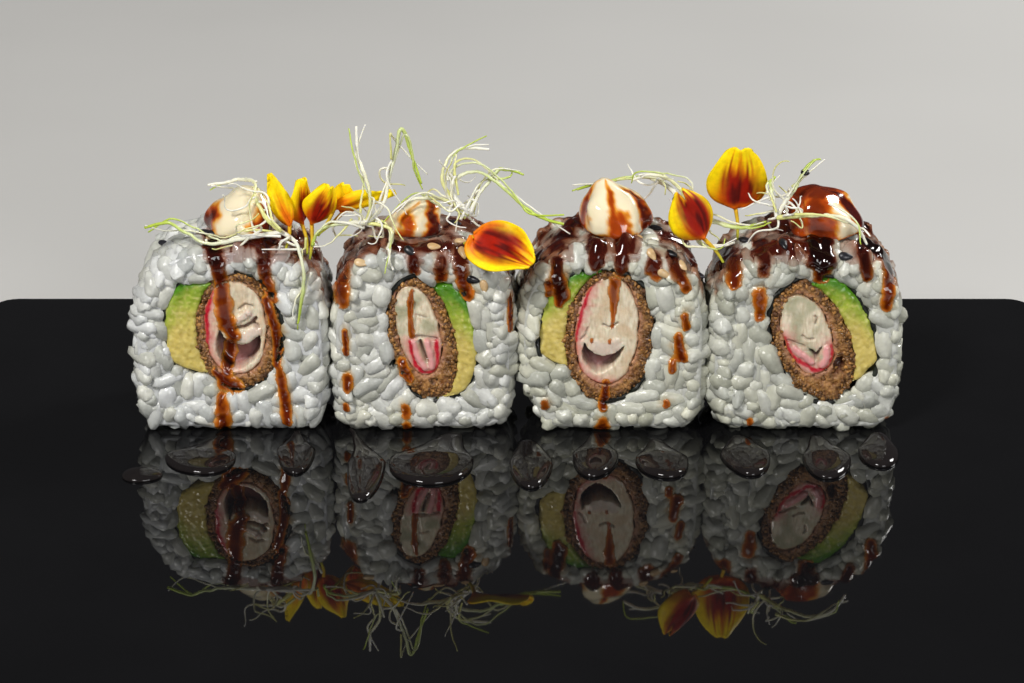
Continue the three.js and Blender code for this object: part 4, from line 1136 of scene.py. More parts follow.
def crab_relief(slice_, flat):
    """How far the cut face stands back: hollow, folds and fibres, less the strips that stand proud."""
    seed = slice_["seed"]
    rim = oval_outline(slice_["crab"], CRAB_POWER)
    back = edge_roll(flat, (rim,), 0.7, 0.25) + 0.12
    back = back + 0.07 * rough_field(flat * (2.6, 0.7), 1.1, seed) + 0.2 * rough_field(flat, 0.35, seed)
    back = back + 0.05 * rough_field(flat, 2.6, seed + 1)
    ragged = 1 + 0.35 * rough_field(flat, 0.8, seed + 5)
    for line, width, proud in slice_["strips"]:
        gap = line_distance(flat, line)
        back = back - proud * np.sqrt(np.clip(1 - (gap / (width * ragged)) ** 2, 0, 1))
    for line, width, deep in slice_["folds"]:
        gap = line_distance(flat, line)
        back = back + deep * np.exp(-(gap / (width * ragged)) ** 2)
    hollow = resampled(anticlockwise(slice_["hollow"]), 0.5)
    wander = 0.15 * rough_field(flat, 1.1, seed + 7)
    inside = ramp(-edge_distance(flat, hollow)[0] + wander, -0.05, 0.4)
    return back + slice_["hollow_depth"] * inside, inside


def make_crab(slice_, index, material, settings):
    """The crab stick: cloudy flesh, a red skin, strips, folds and a hollow."""
    seed = slice_["seed"]
    rim = wavy(oval_outline(slice_["crab"], CRAB_POWER, -0.05, count=200), 0.14, seed)
    points, faces, flat = cut_slab(rim, None, 0.26, SLICE_DEPTH / 2 + 0.4,
                                   lambda flat: crab_relief(slice_, flat)[0], seed)
    _, hollow = crab_relief(slice_, flat)
    fibre = rough_field(flat * (3.4, 0.8), 0.9, seed)
    tone = blend(tint(228, 216, 192), tint(196, 180, 150), ramp(fibre, -0.5, 0.9))
    cloud = rough_field(flat, 0.3, seed + 6)
    tone = blend(tone, tint(*slice_["crab_shade"]), ramp(cloud, -0.2, 0.5) * 0.75)
    gap = line_distance(flat, slice_["red"])
    ragged = 1 + 0.75 * rough_field(flat, 0.9, seed + 8)
    pink = np.exp(-(gap / (slice_["pink_width"] * ragged)) ** 2)
    tone = blend(tone, tint(208, 118, 116), pink * 0.75)
    for line, width, _ in slice_["strips"]:
        strip = 1 - ramp(line_distance(flat, line), width * 0.5, width * 1.1)
        tone = blend(tone, tint(*slice_["strip_shade"]), strip * 0.8)
    red = 1 - ramp(gap, slice_["red_width"] * ragged * 0.4, slice_["red_width"] * ragged * 1.3)
    tone = blend(tone, np.array(settings.crab_colour), red * (0.8 + 0.2 * np.clip(ragged, 0, 1)))
    # Painted shade: the cut face is darkened along its folds, in the creases that the relief sets back.
    for line, width, deep in slice_["folds"]:
        crease = np.exp(-(line_distance(flat, line) / (width * 1.1)) ** 2) * deep
        tone = blend(tone, tint(120, 78, 66), np.clip(crease * 0.6, 0, 0.9))
    # Painted shade: the hollow's inside is painted dark red-brown, darkest just under its top edge.
    top = max(z for _, z in slice_["hollow"])
    floor = blend(tint(142, 92, 90), tint(70, 36, 38), ramp(flat[:, 1], top - 7.5, top - 2.0))
    tone = blend(tone, floor, hollow * 0.97)
    crease = 1 - ramp(np.abs(edge_distance(flat, rim)[0]), 0.0, 0.5)
    tone = blend(tone, tint(168, 118, 78), crease * 0.6)
    make_piece(f"crab_flesh_{index}", slice_place(slice_, points), faces, material,
               nodes=(f"crab_{index}",), tone=tone)
    return points, faces


def avocado_outline(slice_):
    """The room beside the stick, cut off at its ends."""
    low, high = slice_["avocado"]
    side = slice_["side"]
    tilt = slice_["stick"][4]
    centre = np.array(slice_["stick"][:2])
    up = np.array((-math.sin(tilt), math.cos(tilt)))
    out = side * np.array((math.cos(tilt), math.sin(tilt)))
    room = room_outline(slice_, -0.2)
    stick = oval_outline(slice_["stick"], STICK_POWER, 0.1, count=240)
    inner, outer = [], []
    for height in np.linspace(low, high, 60):
        start = centre + up * height
        reach = np.arange(0, 26, 0.1)
        walk = start + out * reach[:, None]
        in_stick = points_inside(walk, stick)
        in_room = points_inside(walk, room)
        first = reach[np.nonzero(in_stick)[0][-1]] if in_stick.any() else 0.0
        if not in_room[reach >= first].any():
            continue
        last = reach[in_room].max()
        if last - first > 0.5:
            last = first + (last - first) * min(1.0, math.sqrt((height - low + 0.4) / 3.2))
            inner.append(start + out * first)
            outer.append(start + out * last)
    return anticlockwise(inner + outer[::-1])


def make_avocado(slice_, index, material, settings):
    """The avocado: lumpy flesh, yellow at the stone and green at the skin."""
    seed = slice_["seed"]
    rim = wavy(avocado_outline(slice_), 0.14, seed, (11, 19, 37))

    def relief(flat):
        lumps = 0.22 * rough_field(flat, 0.5, seed) + 0.18 * rough_field(flat, 1.3, seed)
        lumps += 0.08 * rough_field(flat, 2.9, seed)
        return edge_roll(flat, (rim,), 0.9, 0.4) + lumps
    points, faces, flat = cut_slab(rim, None, 0.36, SLICE_DEPTH / 2 + 0.35, relief, seed)
    room = room_outline(slice_, 0.1)
    skin = -edge_distance(flat, room)[0]
    line = slice_["green_line"]
    wander = 1.6 * rough_field(flat, 0.3, seed + 2) + 0.6 * rough_field(flat, 1.1, seed + 2)
    green = ramp(flat[:, 1] + wander + np.clip(2.5 - skin, 0, 2.5) * 1.6, line - 5.5, line + 4.0)
    tone = blend(tint(204, 184, 100), tint(148, 168, 52), green)
    deep = ramp(flat[:, 1] + wander + np.clip(2.0 - skin, 0, 2) * 2.0, line + 2.0, line + 9.5)
    tone = blend(tone, np.array(settings.avocado_colour), deep)
    mottled = rough_field(flat, 1.2, seed + 9)
    tone = blend(tone, tint(226, 210, 140), ramp(mottled, 0.0, 0.7) * 0.6 * (1 - deep))
    tone = blend(tone, tint(146, 116, 50), ramp(-mottled, 0.1, 0.7) * 0.45 * (1 - green))
    make_piece(f"avocado_flesh_{index}", slice_place(slice_, points), faces, material,
               nodes=(f"avocado_{index}",), tone=tone)
    return points, faces


# ---- toppings -------------------------------------------------------------------------------

# Where the glaze runs down each dollop: middle and half width in degrees round it from the front
# (right is positive), how far up it starts, and how dark it is
GLAZE = {
    1: [(-74, 34, 0.66, 0.8), (54, 34, 0.74, 0.9), (150, 40, 0.8, 0.7)],
    2: [(-24, 26, 0.9, 0.6), (44, 26, 0.95, 0.95), (-100, 22, 0.8, 0.6), (160, 40, 0.9, 0.8)],
    3: [(-80, 30, 0.9, 0.7), (6, 20, 1.0, 0.62), (74, 22, 0.9, 0.8), (150, 50, 0.8, 0.7)],
    4: [(-64, 44, 1.1, 0.72), (-14, 36, 1.1, 0.72), (72, 20, 1.1, 0.95), (20, 60, 1.1, 0.0),
        (150, 50, 1.1, 0.8)],
}


def soft_profile(share, steps, values):
    """A profile through the given steps with its corners rounded."""
    fine = np.linspace(-0.2, 1.2, 281)
    window = np.hanning(33) / np.hanning(33).sum()
    line = np.convolve(np.pad(np.interp(fine, steps, values), 16, mode="edge"), window, mode="valid")
    return np.interp(share, fine, line)


def make_mayo(slice_, index, material, settings):
    """A piped dollop between a pointed kiss and a dome, with glaze that runs down it."""
    x, y, radius, height, tip = slice_["mayo"]
    seed = slice_["seed"]
    points, faces = ball(96, 56)
    rise = np.arccos(np.clip(-points[:, 2], -1, 1)) / np.pi
    steps = (0, 0.12, 0.25, 0.4, 0.58, 0.75, 0.9, 1.0)
    kiss = soft_profile(rise, steps, (0, 0.88, 1.0, 0.96, 0.78, 0.46, 0.2, 0.0))
    dome = soft_profile(rise, steps, (0, 0.88, 1.0, 1.0, 0.92, 0.74, 0.46, 0.0))
    around = (kiss + (dome - kiss) * slice_["dome"]) * np.clip((1 - rise) / 0.04, 0, 1) ** 0.5
    up = soft_profile(rise, steps, (0, 0.0, 0.13, 0.34, 0.6, 0.82, 0.97, 1.0))
    angle = np.arctan2(points[:, 0], -points[:, 1])
    swirl = 1 + 0.06 * np.cos(3 * angle + 4 * up + seed) + 0.05 * np.cos(5 * angle - 3 * up + 2 * seed)
    out = around * radius * swirl
    shaped = np.stack((np.sin(angle) * out, -np.cos(angle) * out, up * height), axis=1)
    shaped[:, 0] += tip * up ** 2 + 0.5 * np.sin(4 * up + seed) * up
    shaped += 0.8 * np.stack([rough_field(shaped, 0.2, seed + k) for k in range(3)], axis=1) * (1, 1, 0.5)
    shaped[:, 2] = np.maximum(shaped[:, 2], 0)
    shaped += (x, y, SLICE_HEIGHT - 0.2)
    sauced = np.zeros(len(points))
    degrees = np.degrees(angle)
    wander = 16 * rough_field(shaped, 0.28, seed + 3) + 7 * rough_field(shaped, 0.8, seed + 5)
    for middle, half, start, dark in GLAZE[index]:
        gap = np.abs((degrees - middle + wander + 180) % 360 - 180)
        band = 1 - ramp(gap, half * 0.1, half * 1.35)
        sauced = np.maximum(sauced, band * dark * (1 - ramp(up + wander / 90, start - 0.25, start + 0.2)))
    sauced = np.maximum(sauced, 0.95 * (1 - ramp(up + 0.08 * rough_field(shaped, 0.5, seed), 0.0, 0.16)))
    if slice_["dome"] > 0.8:
        sauced = np.maximum(sauced, 0.74 * ramp(up + wander / 120, 0.7, 0.94))
    tone = blend(np.array(settings.mayo_colour), tint(226, 156, 52), ramp(sauced, 0.04, 0.36))
    tone = blend(tone, tint(176, 70, 14), ramp(sauced, 0.3, 0.56))
    tone = blend(tone, tint(70, 12, 6), ramp(sauced, 0.5, 0.85))
    make_piece(f"mayo_dollop_{index}", slice_place(slice_, shaped), faces, material,
               nodes=(f"mayo_{index}",), tone=tone)


def make_petal(name, material, settings):
    """A cupped, veined and ruffled blade, and the claw that it grows from."""
    petal = PETALS[name]
    heart = petal["heart"]
    grid, faces = template_of(bpy.ops.mesh.primitive_grid_add, x_subdivisions=24, y_subdivisions=30,
                              size=2)
    across, rise = grid[:, 0], (grid[:, 1] + 1) / 2
    seed = sum(map(ord, name)) % 17
    widest, blunt = (0.68, 0.6) if petal.get("broad") else (0.8, 0.85)
    half = (petal["width"] / 2) * np.maximum(0.1, np.sin(np.pi * rise ** widest * 0.93) ** blunt)
    notch = petal.get("notch", 0.05) * np.exp(-(across / 0.3) ** 2) * rise
    tip = petal["length"] * (rise * (1 - notch) - 0.1 * across ** 2 * rise)
    bend = petal["cup"] * (across ** 2 - 0.5 * rise) + 0.3 * np.sin(5 * across + 4 * rise)
    ruffle = 0.6 * np.abs(across) ** 3 * np.sin(9 * rise + 2.3 * seed + across)
    vein = 0.07 * np.cos(across * 26 + 2 * rise)
    points = np.stack((across * half, bend + ruffle * rise + vein * rise, tip), axis=1)
    flat = np.stack((across * 3, rise * 6), axis=1)
    streak = rough_field(flat * (2.4, 0.42), 1.0, seed)
    patch = rough_field(flat, 0.5, seed + 2)
    feather = rough_field(flat * (5.5, 0.35), 1.0, seed + 5)
    reach = rise + 0.25 * np.abs(across) + 0.14 * streak + 0.3 * feather
    yellow, orange, dark = np.array(settings.petal_colour), tint(234, 120, 6), tint(150, 24, 6)
    outer = rise + 0.3 * np.abs(across) + 0.14 * streak + 0.1 * patch
    tone = blend(orange, yellow, ramp(outer, 0.25, 0.75))
    if heart > 0.3:
        centre = 1 - ramp(np.abs(across - 0.12) + 0.2 * streak, 0.28, 0.92)
        middle = ramp(rise, 0.0, 0.14) * (1 - ramp(reach, heart - 0.3, heart + 0.08))
        tone = blend(tone, tint(232, 104, 8), centre * (1 - ramp(reach, heart - 0.1, heart + 0.24)) * 0.8)
        tone = blend(tone, dark, np.clip(centre * middle * 1.15, 0, 1))
        deepest = centre * middle * ramp(streak + 0.4 * patch, -0.1, 0.35)
        tone = blend(tone, tint(62, 8, 8), np.clip(deepest, 0, 1) * 0.85)
    else:
        tone = blend(tone, tint(206, 92, 10), (1 - ramp(reach, heart, heart + 0.25)) * 0.7)
    x, y, z = petal["turn"]
    turn = Matrix.Rotation(x, 3, "X") @ Matrix.Rotation(y, 3, "Y") @ Matrix.Rotation(z, 3, "Z")
    moved = np.array([turn @ Vector(p) for p in points]) + petal["root"]
    blade = make_piece(f"{name}_blade", row_place(moved), faces, material,
                       nodes=(name,), tone=tone)
    apply_modifier(blade, "SOLIDIFY", thickness=0.00045, offset=0)
    bow = (np.array(petal["root"]) + petal["foot"]) / 2 + (0.3, 0.2, 0)
    claw = smooth_path([moved[rise < 0.001].mean(0), bow, petal["foot"]])
    points, faces = tube(claw, np.linspace(0.5, 0.28, len(claw)))
    share = np.repeat(np.linspace(0, 1, len(claw)), TUBE_SIDES)
    tone = blend(tint(226, 168, 30), tint(170, 180, 60), share)
    make_piece(f"{name}_claw", row_place(points), faces, material, tone=tone)


TUBE_SIDES = 7


def tube(points, radii):
    """A closed tube along points, with its own radius at each."""
    points = np.asarray(points, dtype=float)
    along = unit(np.gradient(points, axis=0))
    side = np.cross(along[0], (0.31, 0.87, 0.38))
    side /= np.linalg.norm(side)
    angle = np.linspace(0, 2 * np.pi, TUBE_SIDES, endpoint=False)
    rings = []
    for i, direction in enumerate(along):
        side = side - direction * side.dot(direction)
        side /= np.linalg.norm(side)
        other = np.cross(direction, side)
        ring = np.cos(angle)[:, None] * side + np.sin(angle)[:, None] * other
        rings.append(points[i] + radii[i] * ring)
    verts = np.vstack(rings)
    faces = []
    for i in range(len(points) - 1):
        for k in range(TUBE_SIDES):
            a, b = i * TUBE_SIDES + k, i * TUBE_SIDES + (k + 1) % TUBE_SIDES
            faces.append((a, b, b + TUBE_SIDES, a + TUBE_SIDES))
    faces.append(tuple(range(TUBE_SIDES))[::-1])
    faces.append(tuple(len(verts) - TUBE_SIDES + k for k in range(TUBE_SIDES)))
    return verts, faces


def smooth_path(places, steps=10):
    """A Catmull-Rom curve through places."""
    p = np.array([places[0], *places, places[-1]], dtype=float)
    out = []
    for i in range(1, len(p) - 2):
        for t in np.linspace(0, 1, steps, endpoint=False):
            out.append(0.5 * ((2 * p[i]) + (-p[i - 1] + p[i + 1]) * t
                              + (2 * p[i - 1] - 5 * p[i] + 4 * p[i + 1] - p[i + 2]) * t ** 2
                              + (-p[i - 1] + 3 * p[i] - 3 * p[i + 1] + p[i + 2]) * t ** 3))
    out.append(p[-2])
    return np.array(out)


# How high shoots may reach, and the thickness of a drawn shoot and of the copies that stray from it
SHOOT_TOP = 67.4
SHOOT_COPIES = (1.0, 0.5, 0.6)


def make_sprouts(name, material, settings):
    """A tangle: the drawn shoots, finer copies that stray from them, and curling roots."""
    knot, shoots = TANGLES[name]
    knot = np.array(knot, dtype=float)
    radius = settings.shoot_radius / MM
    draws = np.random.default_rng(sum(map(ord, name)))
    parts, tones = [], []

    def add(path, thick, start, end):
        over_slices = np.abs(path[:, 1] - 2.3) < 12.5
        path[:, 2] = np.clip(path[:, 2], np.where(over_slices, SLICE_HEIGHT + 0.2, 0), SHOOT_TOP)
        share = np.linspace(0, 1, len(path))
        parts.append(tube(path, thick))
        tones.append(np.repeat(blend(start, end, ramp(share, 0.1, 0.9)), TUBE_SIDES, axis=0))

    white, straw, leaf = tint(236, 234, 220), tint(216, 216, 142), tint(180, 200, 76)
    for number, shoot in enumerate(shoots):
        for copy, thin in enumerate(SHOOT_COPIES):
            places = [knot] + [np.array(p, dtype=float) for p in shoot]
            if copy:
                first = int(draws.integers(0, max(1, len(places) - 2)))
                places = [p + draws.normal(0, 1.3, 3) for p in places[first:]]
            path = smooth_path(places)
            share = np.linspace(0, 1, len(path))
            kinks = np.cumsum(draws.normal(0, 0.09, (len(path), 3)), axis=0)
            path += kinks * np.sin(np.pi * share)[:, None]
            thick = radius * thin * (1 - 0.45 * share) * (1 + 0.15 * np.sin(9 * share + number))
            pale = (number + copy) % 2
            add(path, thick, *((straw, white) if pale else (white, leaf)))
    for number in range(13):
        shoot = shoots[number % len(shoots)]
        along = smooth_path([knot] + [np.array(p, dtype=float) for p in shoot])
        place = along[int(draws.uniform(0, 0.45) * len(along))].copy()
        heading = draws.normal(0, 1, 3) * (1, 0.6, 0.4)
        heading /= np.linalg.norm(heading)
        curl = draws.normal(0, 0.16, 3)
        path = [place]
        for _ in range(int(draws.uniform(14, 34))):
            curl = curl * 0.92 + draws.normal(0, 0.09, 3)
            heading = heading + curl + (0, -0.02, -0.03)
            heading /= np.linalg.norm(heading)
            path.append(path[-1] + heading * 0.45)
        path = np.array(path)
        path[:, 1] = np.maximum(path[:, 1], knot[1] - 4.5)
        add(path, np.linspace(0.3, 0.12, len(path)), white, white if number % 3 else straw)
    points, faces = stacked(parts)
    make_piece(f"{name}_shoots", row_place(points), faces, material, nodes=(name,),
               tone=np.vstack(tones))


# ---- seeds and drops ------------------------------------------------------------------------

# Seeds: x in the row's frame, down from the front top edge as for sauce, and the seed's turn
WHITE_SEEDS = [(-33.1, 3, 0.2), (-17.2, -1, 0.1), (-11.2, -3.6, 0.4), (-10.8, 0.5, 1.2), (-6.1, 7.6, 1.4),
               (27.4, -5, 0.3), (33.4, 4.6, 0.5), (37.4, 3.2, 0.9), (30.6, 0.8, 1.0), (-66.6, -5.5, 0.5)]
BLACK_SEEDS = [(-77.8, -8, 0.7), (-68, -7.6, 0.2), (-66.2, -6.6, 0.3), (-22.3, 0.2, 0.6),
               (-8.6, 6.2, 0.2), (-12.8, -14, 0.4), (32.2, -13, 0.3), (35.1, 0.4, 0.7),
               (41.6, 4.6, 0.8), (51.8, -5.2, 0.5), (59.6, -0.8, 1.3), (73.2, 1.2, 0.1),
               (72.7, -13, 0.2)]

# Dark hulls that still hang on the sprouts, in the row's frame
HULLS = [(36.5, 1.6, 50.0), (64.8, 2.8, 55.9)]

# Half length, half width and half thickness, before the seed is tapered and flattened
SEED_HALF = (1.6, 0.9, 0.9)
HULL_HALF = (1.5, 1.0, 1.0)


def make_seeds(name, seeds, tones, material, carriers, loose=()):
    """Seeds pressed onto what lies under them, and loose hulls where they are told to be."""
    template, faces = ball(12, 10)
    template = template[:, (2, 0, 1)]
    template[:, 1] *= 1 - 0.32 * template[:, 0]
    template[:, 2] *= 0.62 * (1 - 0.2 * template[:, 0])
    draws = np.random.default_rng(len(seeds))
    parts, colours = [], []
    for x, down, turn in seeds:
        number, slice_ = min(enumerate(SLICES, start=1), key=lambda pair: abs(pair[1]["x"] - x))
        local = np.array([x - slice_["x"]])
        base, normal = film_frame(slice_, local, np.array([float(down)]))
        start = Vector(base[0] + normal[0] * 10)
        hit = carriers[number].ray_cast(start, Vector(-normal[0]), 16)
        if hit[0] is None:
            continue
        out = normal[0]
        along = np.array((math.cos(turn), 0, 0)) + math.sin(turn) * np.cross(out, (-1, 0, 0))
        along /= np.linalg.norm(along)
        side = np.cross(out, along)
        centre = np.array(hit[0]) + out * 0.35
        points = centre + (template * SEED_HALF) @ np.stack((along, side, out))
        parts.append((slice_place(slice_, points), faces))
        shade = blend(tones[0], tones[1], draws.uniform(0, 1))
        colours.append(np.repeat(shade[None], len(points), axis=0))
    for place in loose:
        upright = (template * HULL_HALF)[:, (1, 0, 2)]
        parts.append((row_place(upright + place), [face[::-1] for face in faces]))
        colours.append(np.repeat(tones[0][None], len(template), axis=0))
    points, faces = stacked(parts)
    return make_piece(name, points, faces, material, tone=np.vstack(colours))


# Drops of sauce on the board, in the row's frame: middle x and y, half width, half length and height,
# how far the end towards the slices narrows to a neck (0 to 1), and how far that end leans to a side
DROPS = [
    (-80.5, -34.5, 4.2, 3.4, 1.2, 0.0, 0),
    (-68.5, -25, 7.6, 9.5, 1.7, 0.8, 3.6),
    (-47.7, -23, 4.4, 10.5, 1.8, 0.7, -0.6),
    (-32, -29, 4.4, 16.5, 1.9, 0.72, -4.2),
    (-17.4, -27, 9.6, 12, 2.1, 0.45, 4),
    (4.3, -29, 4.8, 11.5, 2.0, 0.35, -1.5),
    (18.2, -25, 4.9, 11, 2.0, 0.6, 0.5),
    (33, -27, 5.6, 9.5, 2.0, 0.45, -1.2),
    (51.5, -25, 5.6, 9.5, 2.0, 0.4, -0.8),
    (69, -26, 5.6, 10, 2.0, 0.45, -0.8),
    (81, -23, 4.6, 8, 1.9, 0.2, 0.6),
]


def make_drops(material):
    """Flat drops that stand on the board, each with a neck towards the slices."""
    template, faces = ball(48, 24)
    parts = []
    for number, (x, y, half_x, half_y, height, neck, lean) in enumerate(DROPS):
        points = template.copy()
        angle = np.arctan2(points[:, 1], points[:, 0])
        shape = 1 + 0.05 * np.cos(2 * angle + number) + 0.04 * np.cos(3 * angle + 2.1 * number)
        back = np.clip(points[:, 1], -1, 1)
        narrow = np.interp(back, (-1, 0, 0.45, 0.8, 1), (1, 1, 1 - 0.75 * neck, 1 - neck, 1 - 0.6 * neck))
        low = np.interp(back, (-1, 0, 0.5, 1), (1, 1, 1 - 0.6 * neck, 1 - 0.8 * neck))
        points[:, 0] = points[:, 0] * half_x * shape * narrow + lean * np.clip(back, 0, 1) ** 1.4
        points[:, 1] *= half_y * shape
        points[:, 2] = np.where(points[:, 2] > 0, points[:, 2] ** 0.7 * height * low, points[:, 2] * 0.05)
        points += (x, y, -0.28)
        parts.append((points, faces))
    points, faces = stacked(parts)
    return make_piece("drops_on_board", row_place(points), faces, material)


# ---- settings, operators and panel ----------------------------------------------------------

# Each soft light: its place and what it is aimed at, in metres, its width, its power and its colour
LIGHTS = (
    ("key", (-0.5, -0.6, 0.95), (0, 0, 0.03), 0.24, 12.5, (1.0, 0.98, 0.95)),
    ("front", (0.35, -0.95, 0.45), (0, 0, 0.03), 0.4, 4.6, (1.0, 1.0, 1.0)),
    ("rim", (0.75, 0.5, 0.75), (0, 0.02, 0.04), 0.3, 9.5, (1.0, 0.99, 0.97)),
)
AIR = (0.05, 0.05, 0.052, 1)

# Where the camera stands, in metres, how many degrees it is raised from looking down, and its lens
CAMERA_PLACE = (0, -0.5135, 0.2785)
CAMERA_TURN = 65
CAMERA_LENS = 93.4


class UramakiSettings(bpy.types.PropertyGroup):
    grain_length: bpy.props.FloatProperty(
        name="Grain length", description="Length of a cooked grain of rice", default=0.0072,
        min=0.004, max=0.01, unit="LENGTH", subtype="DISTANCE")
    grain_width: bpy.props.FloatProperty(
        name="Grain width", description="Width of a cooked grain of rice", default=0.0037,
        min=0.002, max=0.005, unit="LENGTH", subtype="DISTANCE")
    shoot_radius: bpy.props.FloatProperty(
        name="Shoot radius", description="Radius of the thick shoots at their root", default=0.00052,
        min=0.0002, max=0.001, unit="LENGTH", subtype="DISTANCE")
    rice_colour: bpy.props.FloatVectorProperty(
        name="Rice", description="Colour of the milky grains",
        default=tuple(tint(226, 227, 221)), min=0, max=1, subtype="COLOR")
    crab_colour: bpy.props.FloatVectorProperty(
        name="Crab red", description="Colour of the crab stick's red skin",
        default=tuple(tint(186, 20, 44)), min=0, max=1, subtype="COLOR")
    avocado_colour: bpy.props.FloatVectorProperty(
        name="Avocado green", description="Colour of the avocado near its skin",
        default=tuple(tint(70, 124, 20)), min=0, max=1, subtype="COLOR")
    sauce_colour: bpy.props.FloatVectorProperty(
        name="Sauce", description="Colour of the sauce where it is thickest",
        default=tuple(tint(20, 5, 4)), min=0, max=1, subtype="COLOR")
    mayo_colour: bpy.props.FloatVectorProperty(
        name="Mayo", description="Colour of the bare mayo",
        default=tuple(tint(236, 224, 192)), min=0, max=1, subtype="COLOR")
    petal_colour: bpy.props.FloatVectorProperty(
        name="Petal yellow", description="Colour of the petals' outer part",
        default=tuple(tint(254, 222, 12)), min=0, max=1, subtype="COLOR")
    floor_colour: bpy.props.FloatVectorProperty(
        name="Floor", description="Colour of the floor round the board",
        default=(0.5, 0.495, 0.48), min=0, max=1, subtype="COLOR")


# What sauce and seeds lie on: for each slice, the points and faces of its rice and its fillings
CARRIERS = {}


def carrier_trees():
    """For each slice, a tree that a ray can be cast at from above or from the front."""
    if not CARRIERS:
        raise RuntimeError("the rice is built before what lies in it and on it")
    trees = {}
    for number, parts in CARRIERS.items():
        points, faces = stacked(parts)
        trees[number] = BVHTree.FromPolygons([Vector(p) for p in points], faces)
    return trees


def fill_slices(make, *values):
    """Build one filling in every slice, and let sauce and seeds lie on it."""
    if not CARRIERS:
        raise RuntimeError("the rice is built before its fillings")
    for number, slice_ in enumerate(SLICES, start=1):
        CARRIERS[number].append(make(slice_, number, *values))


class URAMAKI_OT_rice(bpy.types.Operator):
    """Settle the grains of rice on every slice"""
    bl_idname = "uramaki.rice"
    bl_label = "Rice"

    def execute(self, context):
        for number, slice_ in enumerate(SLICES, start=1):
            rice = make_rice(slice_, number, finish_named("cooked rice"), context.scene.uramaki)
            CARRIERS[number] = [rice]
        return {"FINISHED"}


class URAMAKI_OT_nori(bpy.types.Operator):
    """Wrap the fillings of every slice in nori"""
    bl_idname = "uramaki.nori"
    bl_label = "Nori"

    def execute(self, context):
        for number, slice_ in enumerate(SLICES, start=1):
            make_nori(slice_, number, finish_named("nori sheet"))
        return {"FINISHED"}


class URAMAKI_OT_crumb(bpy.types.Operator):
    """Coat the place of every crab stick in browned crumb"""
    bl_idname = "uramaki.crumb"
    bl_label = "Crumb coat"

    def execute(self, context):
        fill_slices(make_crumb, finish_named("fried crumb"))
        return {"FINISHED"}


class URAMAKI_OT_crab(bpy.types.Operator):
    """Lay the crab stick in every crumb coat"""
    bl_idname = "uramaki.crab"
    bl_label = "Crab stick"

    def execute(self, context):
        fill_slices(make_crab, finish_named("crab flesh"), context.scene.uramaki)
        return {"FINISHED"}


class URAMAKI_OT_avocado(bpy.types.Operator):
    """Lay the avocado beside every crab stick"""
    bl_idname = "uramaki.avocado"
    bl_label = "Avocado"

    def execute(self, context):
        fill_slices(make_avocado, finish_named("avocado flesh"), context.scene.uramaki)
        return {"FINISHED"}


class URAMAKI_OT_sauce(bpy.types.Operator):
    """Run the sauce over every slice's top and down its face"""
    bl_idname = "uramaki.sauce"
    bl_label = "Sauce"

    def execute(self, context):
        sauce = finish_named("dark sauce")
        for number, tree in carrier_trees().items():
            make_sauce(SLICES[number - 1], number, tree, sauce, context.scene.uramaki)
        return {"FINISHED"}


class URAMAKI_OT_mayo(bpy.types.Operator):
    """Pipe a glazed dollop of mayo on every slice"""
    bl_idname = "uramaki.mayo"
    bl_label = "Mayo"

    def execute(self, context):
        for number, slice_ in enumerate(SLICES, start=1):
            make_mayo(slice_, number, finish_named("glazed mayo"), context.scene.uramaki)
        return {"FINISHED"}


class URAMAKI_OT_petals(bpy.types.Operator):
    """Build the cupped petals"""
    bl_idname = "uramaki.petals"
    bl_label = "Petals"

    def execute(self, context):
        for name in PETALS:
            make_petal(name, finish_named("petal blade"), context.scene.uramaki)
        return {"FINISHED"}


class URAMAKI_OT_sprouts(bpy.types.Operator):
    """Build the tangles of sprouts"""
    bl_idname = "uramaki.sprouts"
    bl_label = "Sprouts"

    def execute(self, context):
        for name in TANGLES:
            make_sprouts(name, finish_named("sprout"), context.scene.uramaki)
        return {"FINISHED"}


class URAMAKI_OT_seeds(bpy.types.Operator):
    """Lay the sesame seeds on the slices and the dark hulls on the shoots"""
    bl_idname = "uramaki.seeds"
    bl_label = "Sesame seeds"

    def execute(self, context):
        sesame, trees = finish_named("sesame"), carrier_trees()
        make_seeds("white_seeds", WHITE_SEEDS, (tint(190, 154, 106), tint(214, 184, 140)), sesame, trees)
        make_seeds("black_seeds", BLACK_SEEDS, (tint(20, 20, 24), tint(36, 36, 42)), sesame, trees, HULLS)
        return {"FINISHED"}


class URAMAKI_OT_board(bpy.types.Operator):
    """Finish the board in mirror black and lay the drops on it"""
    bl_idname = "uramaki.board"
    bl_label = "Board and drops"

    def execute(self, context):
        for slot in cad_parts["board"].material_slots:
            slot.material = finish_named("black gloss")
        make_drops(finish_named("clear drop"))
        return {"FINISHED"}


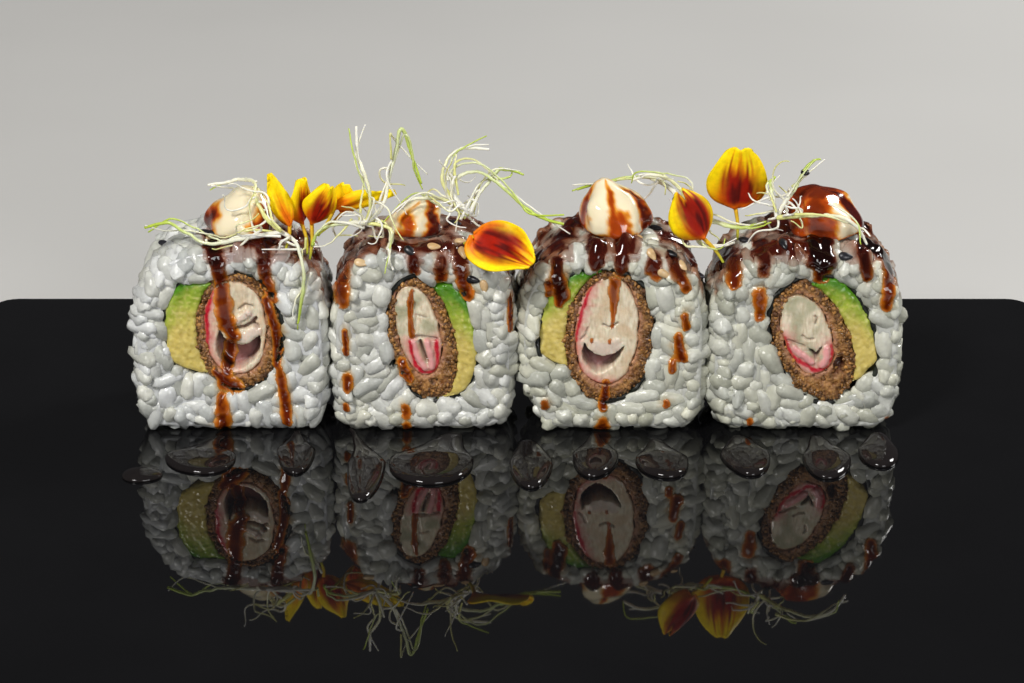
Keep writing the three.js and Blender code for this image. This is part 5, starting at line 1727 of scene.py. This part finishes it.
class URAMAKI_OT_stage(bpy.types.Operator):
    """Lay the floor, hang the lights and set the camera"""
    bl_idname = "uramaki.stage"
    bl_label = "Stage"

    def execute(self, context):
        deselect()
        bpy.ops.mesh.primitive_grid_add(x_subdivisions=4, y_subdivisions=4, size=8,
                                        location=(0, 0, -0.0005))
        floor = bpy.context.object
        floor.name = "floor"
        colour = tuple(context.scene.uramaki.floor_colour)
        floor.data.materials.append(food_material("floor", colour=colour, wet=0.6, dry=0.75, grain=40,
                                                  bump=0.02, mottle=(6.0, 0.02)))
        for name, place, aim, size, power, colour in LIGHTS:
            bpy.ops.object.light_add(type="AREA", location=place)
            lamp = bpy.context.object
            lamp.name = name
            lamp.data.shape = "SQUARE"
            lamp.data.size = size
            lamp.data.energy = power
            lamp.data.color = colour
            lamp.rotation_euler = (Vector(aim) - Vector(place)).to_track_quat("-Z", "Y").to_euler()
        world = bpy.data.worlds.new("studio")
        world.use_nodes = True
        air = world.node_tree.nodes["Background"]
        air.inputs["Color"].default_value = AIR
        air.inputs["Strength"].default_value = 1.0
        context.scene.world = world
        context.scene.view_settings.view_transform = "Standard"
        context.scene.view_settings.look = "None"
        bpy.ops.object.camera_add(location=CAMERA_PLACE, rotation=(math.radians(CAMERA_TURN), 0, 0))
        camera = bpy.context.object
        camera.data.lens = CAMERA_LENS
        camera.data.sensor_width = 36
        camera.data.clip_start = 0.01
        context.scene.camera = camera
        return {"FINISHED"}


OPERATORS = (URAMAKI_OT_rice, URAMAKI_OT_nori, URAMAKI_OT_crumb, URAMAKI_OT_crab, URAMAKI_OT_avocado,
             URAMAKI_OT_sauce, URAMAKI_OT_mayo, URAMAKI_OT_petals, URAMAKI_OT_sprouts, URAMAKI_OT_seeds,
             URAMAKI_OT_board, URAMAKI_OT_stage)


class URAMAKI_PT_panel(bpy.types.Panel):
    """Lists the steps that dress the slices"""
    bl_idname = "URAMAKI_PT_panel"
    bl_label = "Uramaki"
    bl_space_type = "VIEW_3D"
    bl_region_type = "UI"
    bl_category = "Uramaki"

    def draw(self, context):
        for name in UramakiSettings.__annotations__:
            self.layout.prop(context.scene.uramaki, name)
        for operator in OPERATORS:
            self.layout.operator(operator.bl_idname)


def register():
    for kind in (UramakiSettings, *OPERATORS, URAMAKI_PT_panel):
        bpy.utils.register_class(kind)
    bpy.types.Scene.uramaki = bpy.props.PointerProperty(type=UramakiSettings)


def unregister():
    del bpy.types.Scene.uramaki
    for kind in (URAMAKI_PT_panel, *reversed(OPERATORS), UramakiSettings):
        bpy.utils.unregister_class(kind)


def main():
    register()
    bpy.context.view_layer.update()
    bpy.ops.uramaki.rice()
    bpy.ops.uramaki.nori()
    bpy.ops.uramaki.crumb()
    bpy.ops.uramaki.crab()
    bpy.ops.uramaki.avocado()
    bpy.ops.uramaki.sauce()
    bpy.ops.uramaki.mayo()
    bpy.ops.uramaki.petals()
    bpy.ops.uramaki.sprouts()
    bpy.ops.uramaki.seeds()
    bpy.ops.uramaki.board()
    bpy.ops.uramaki.stage()


if __name__ == "__main__":
    main()
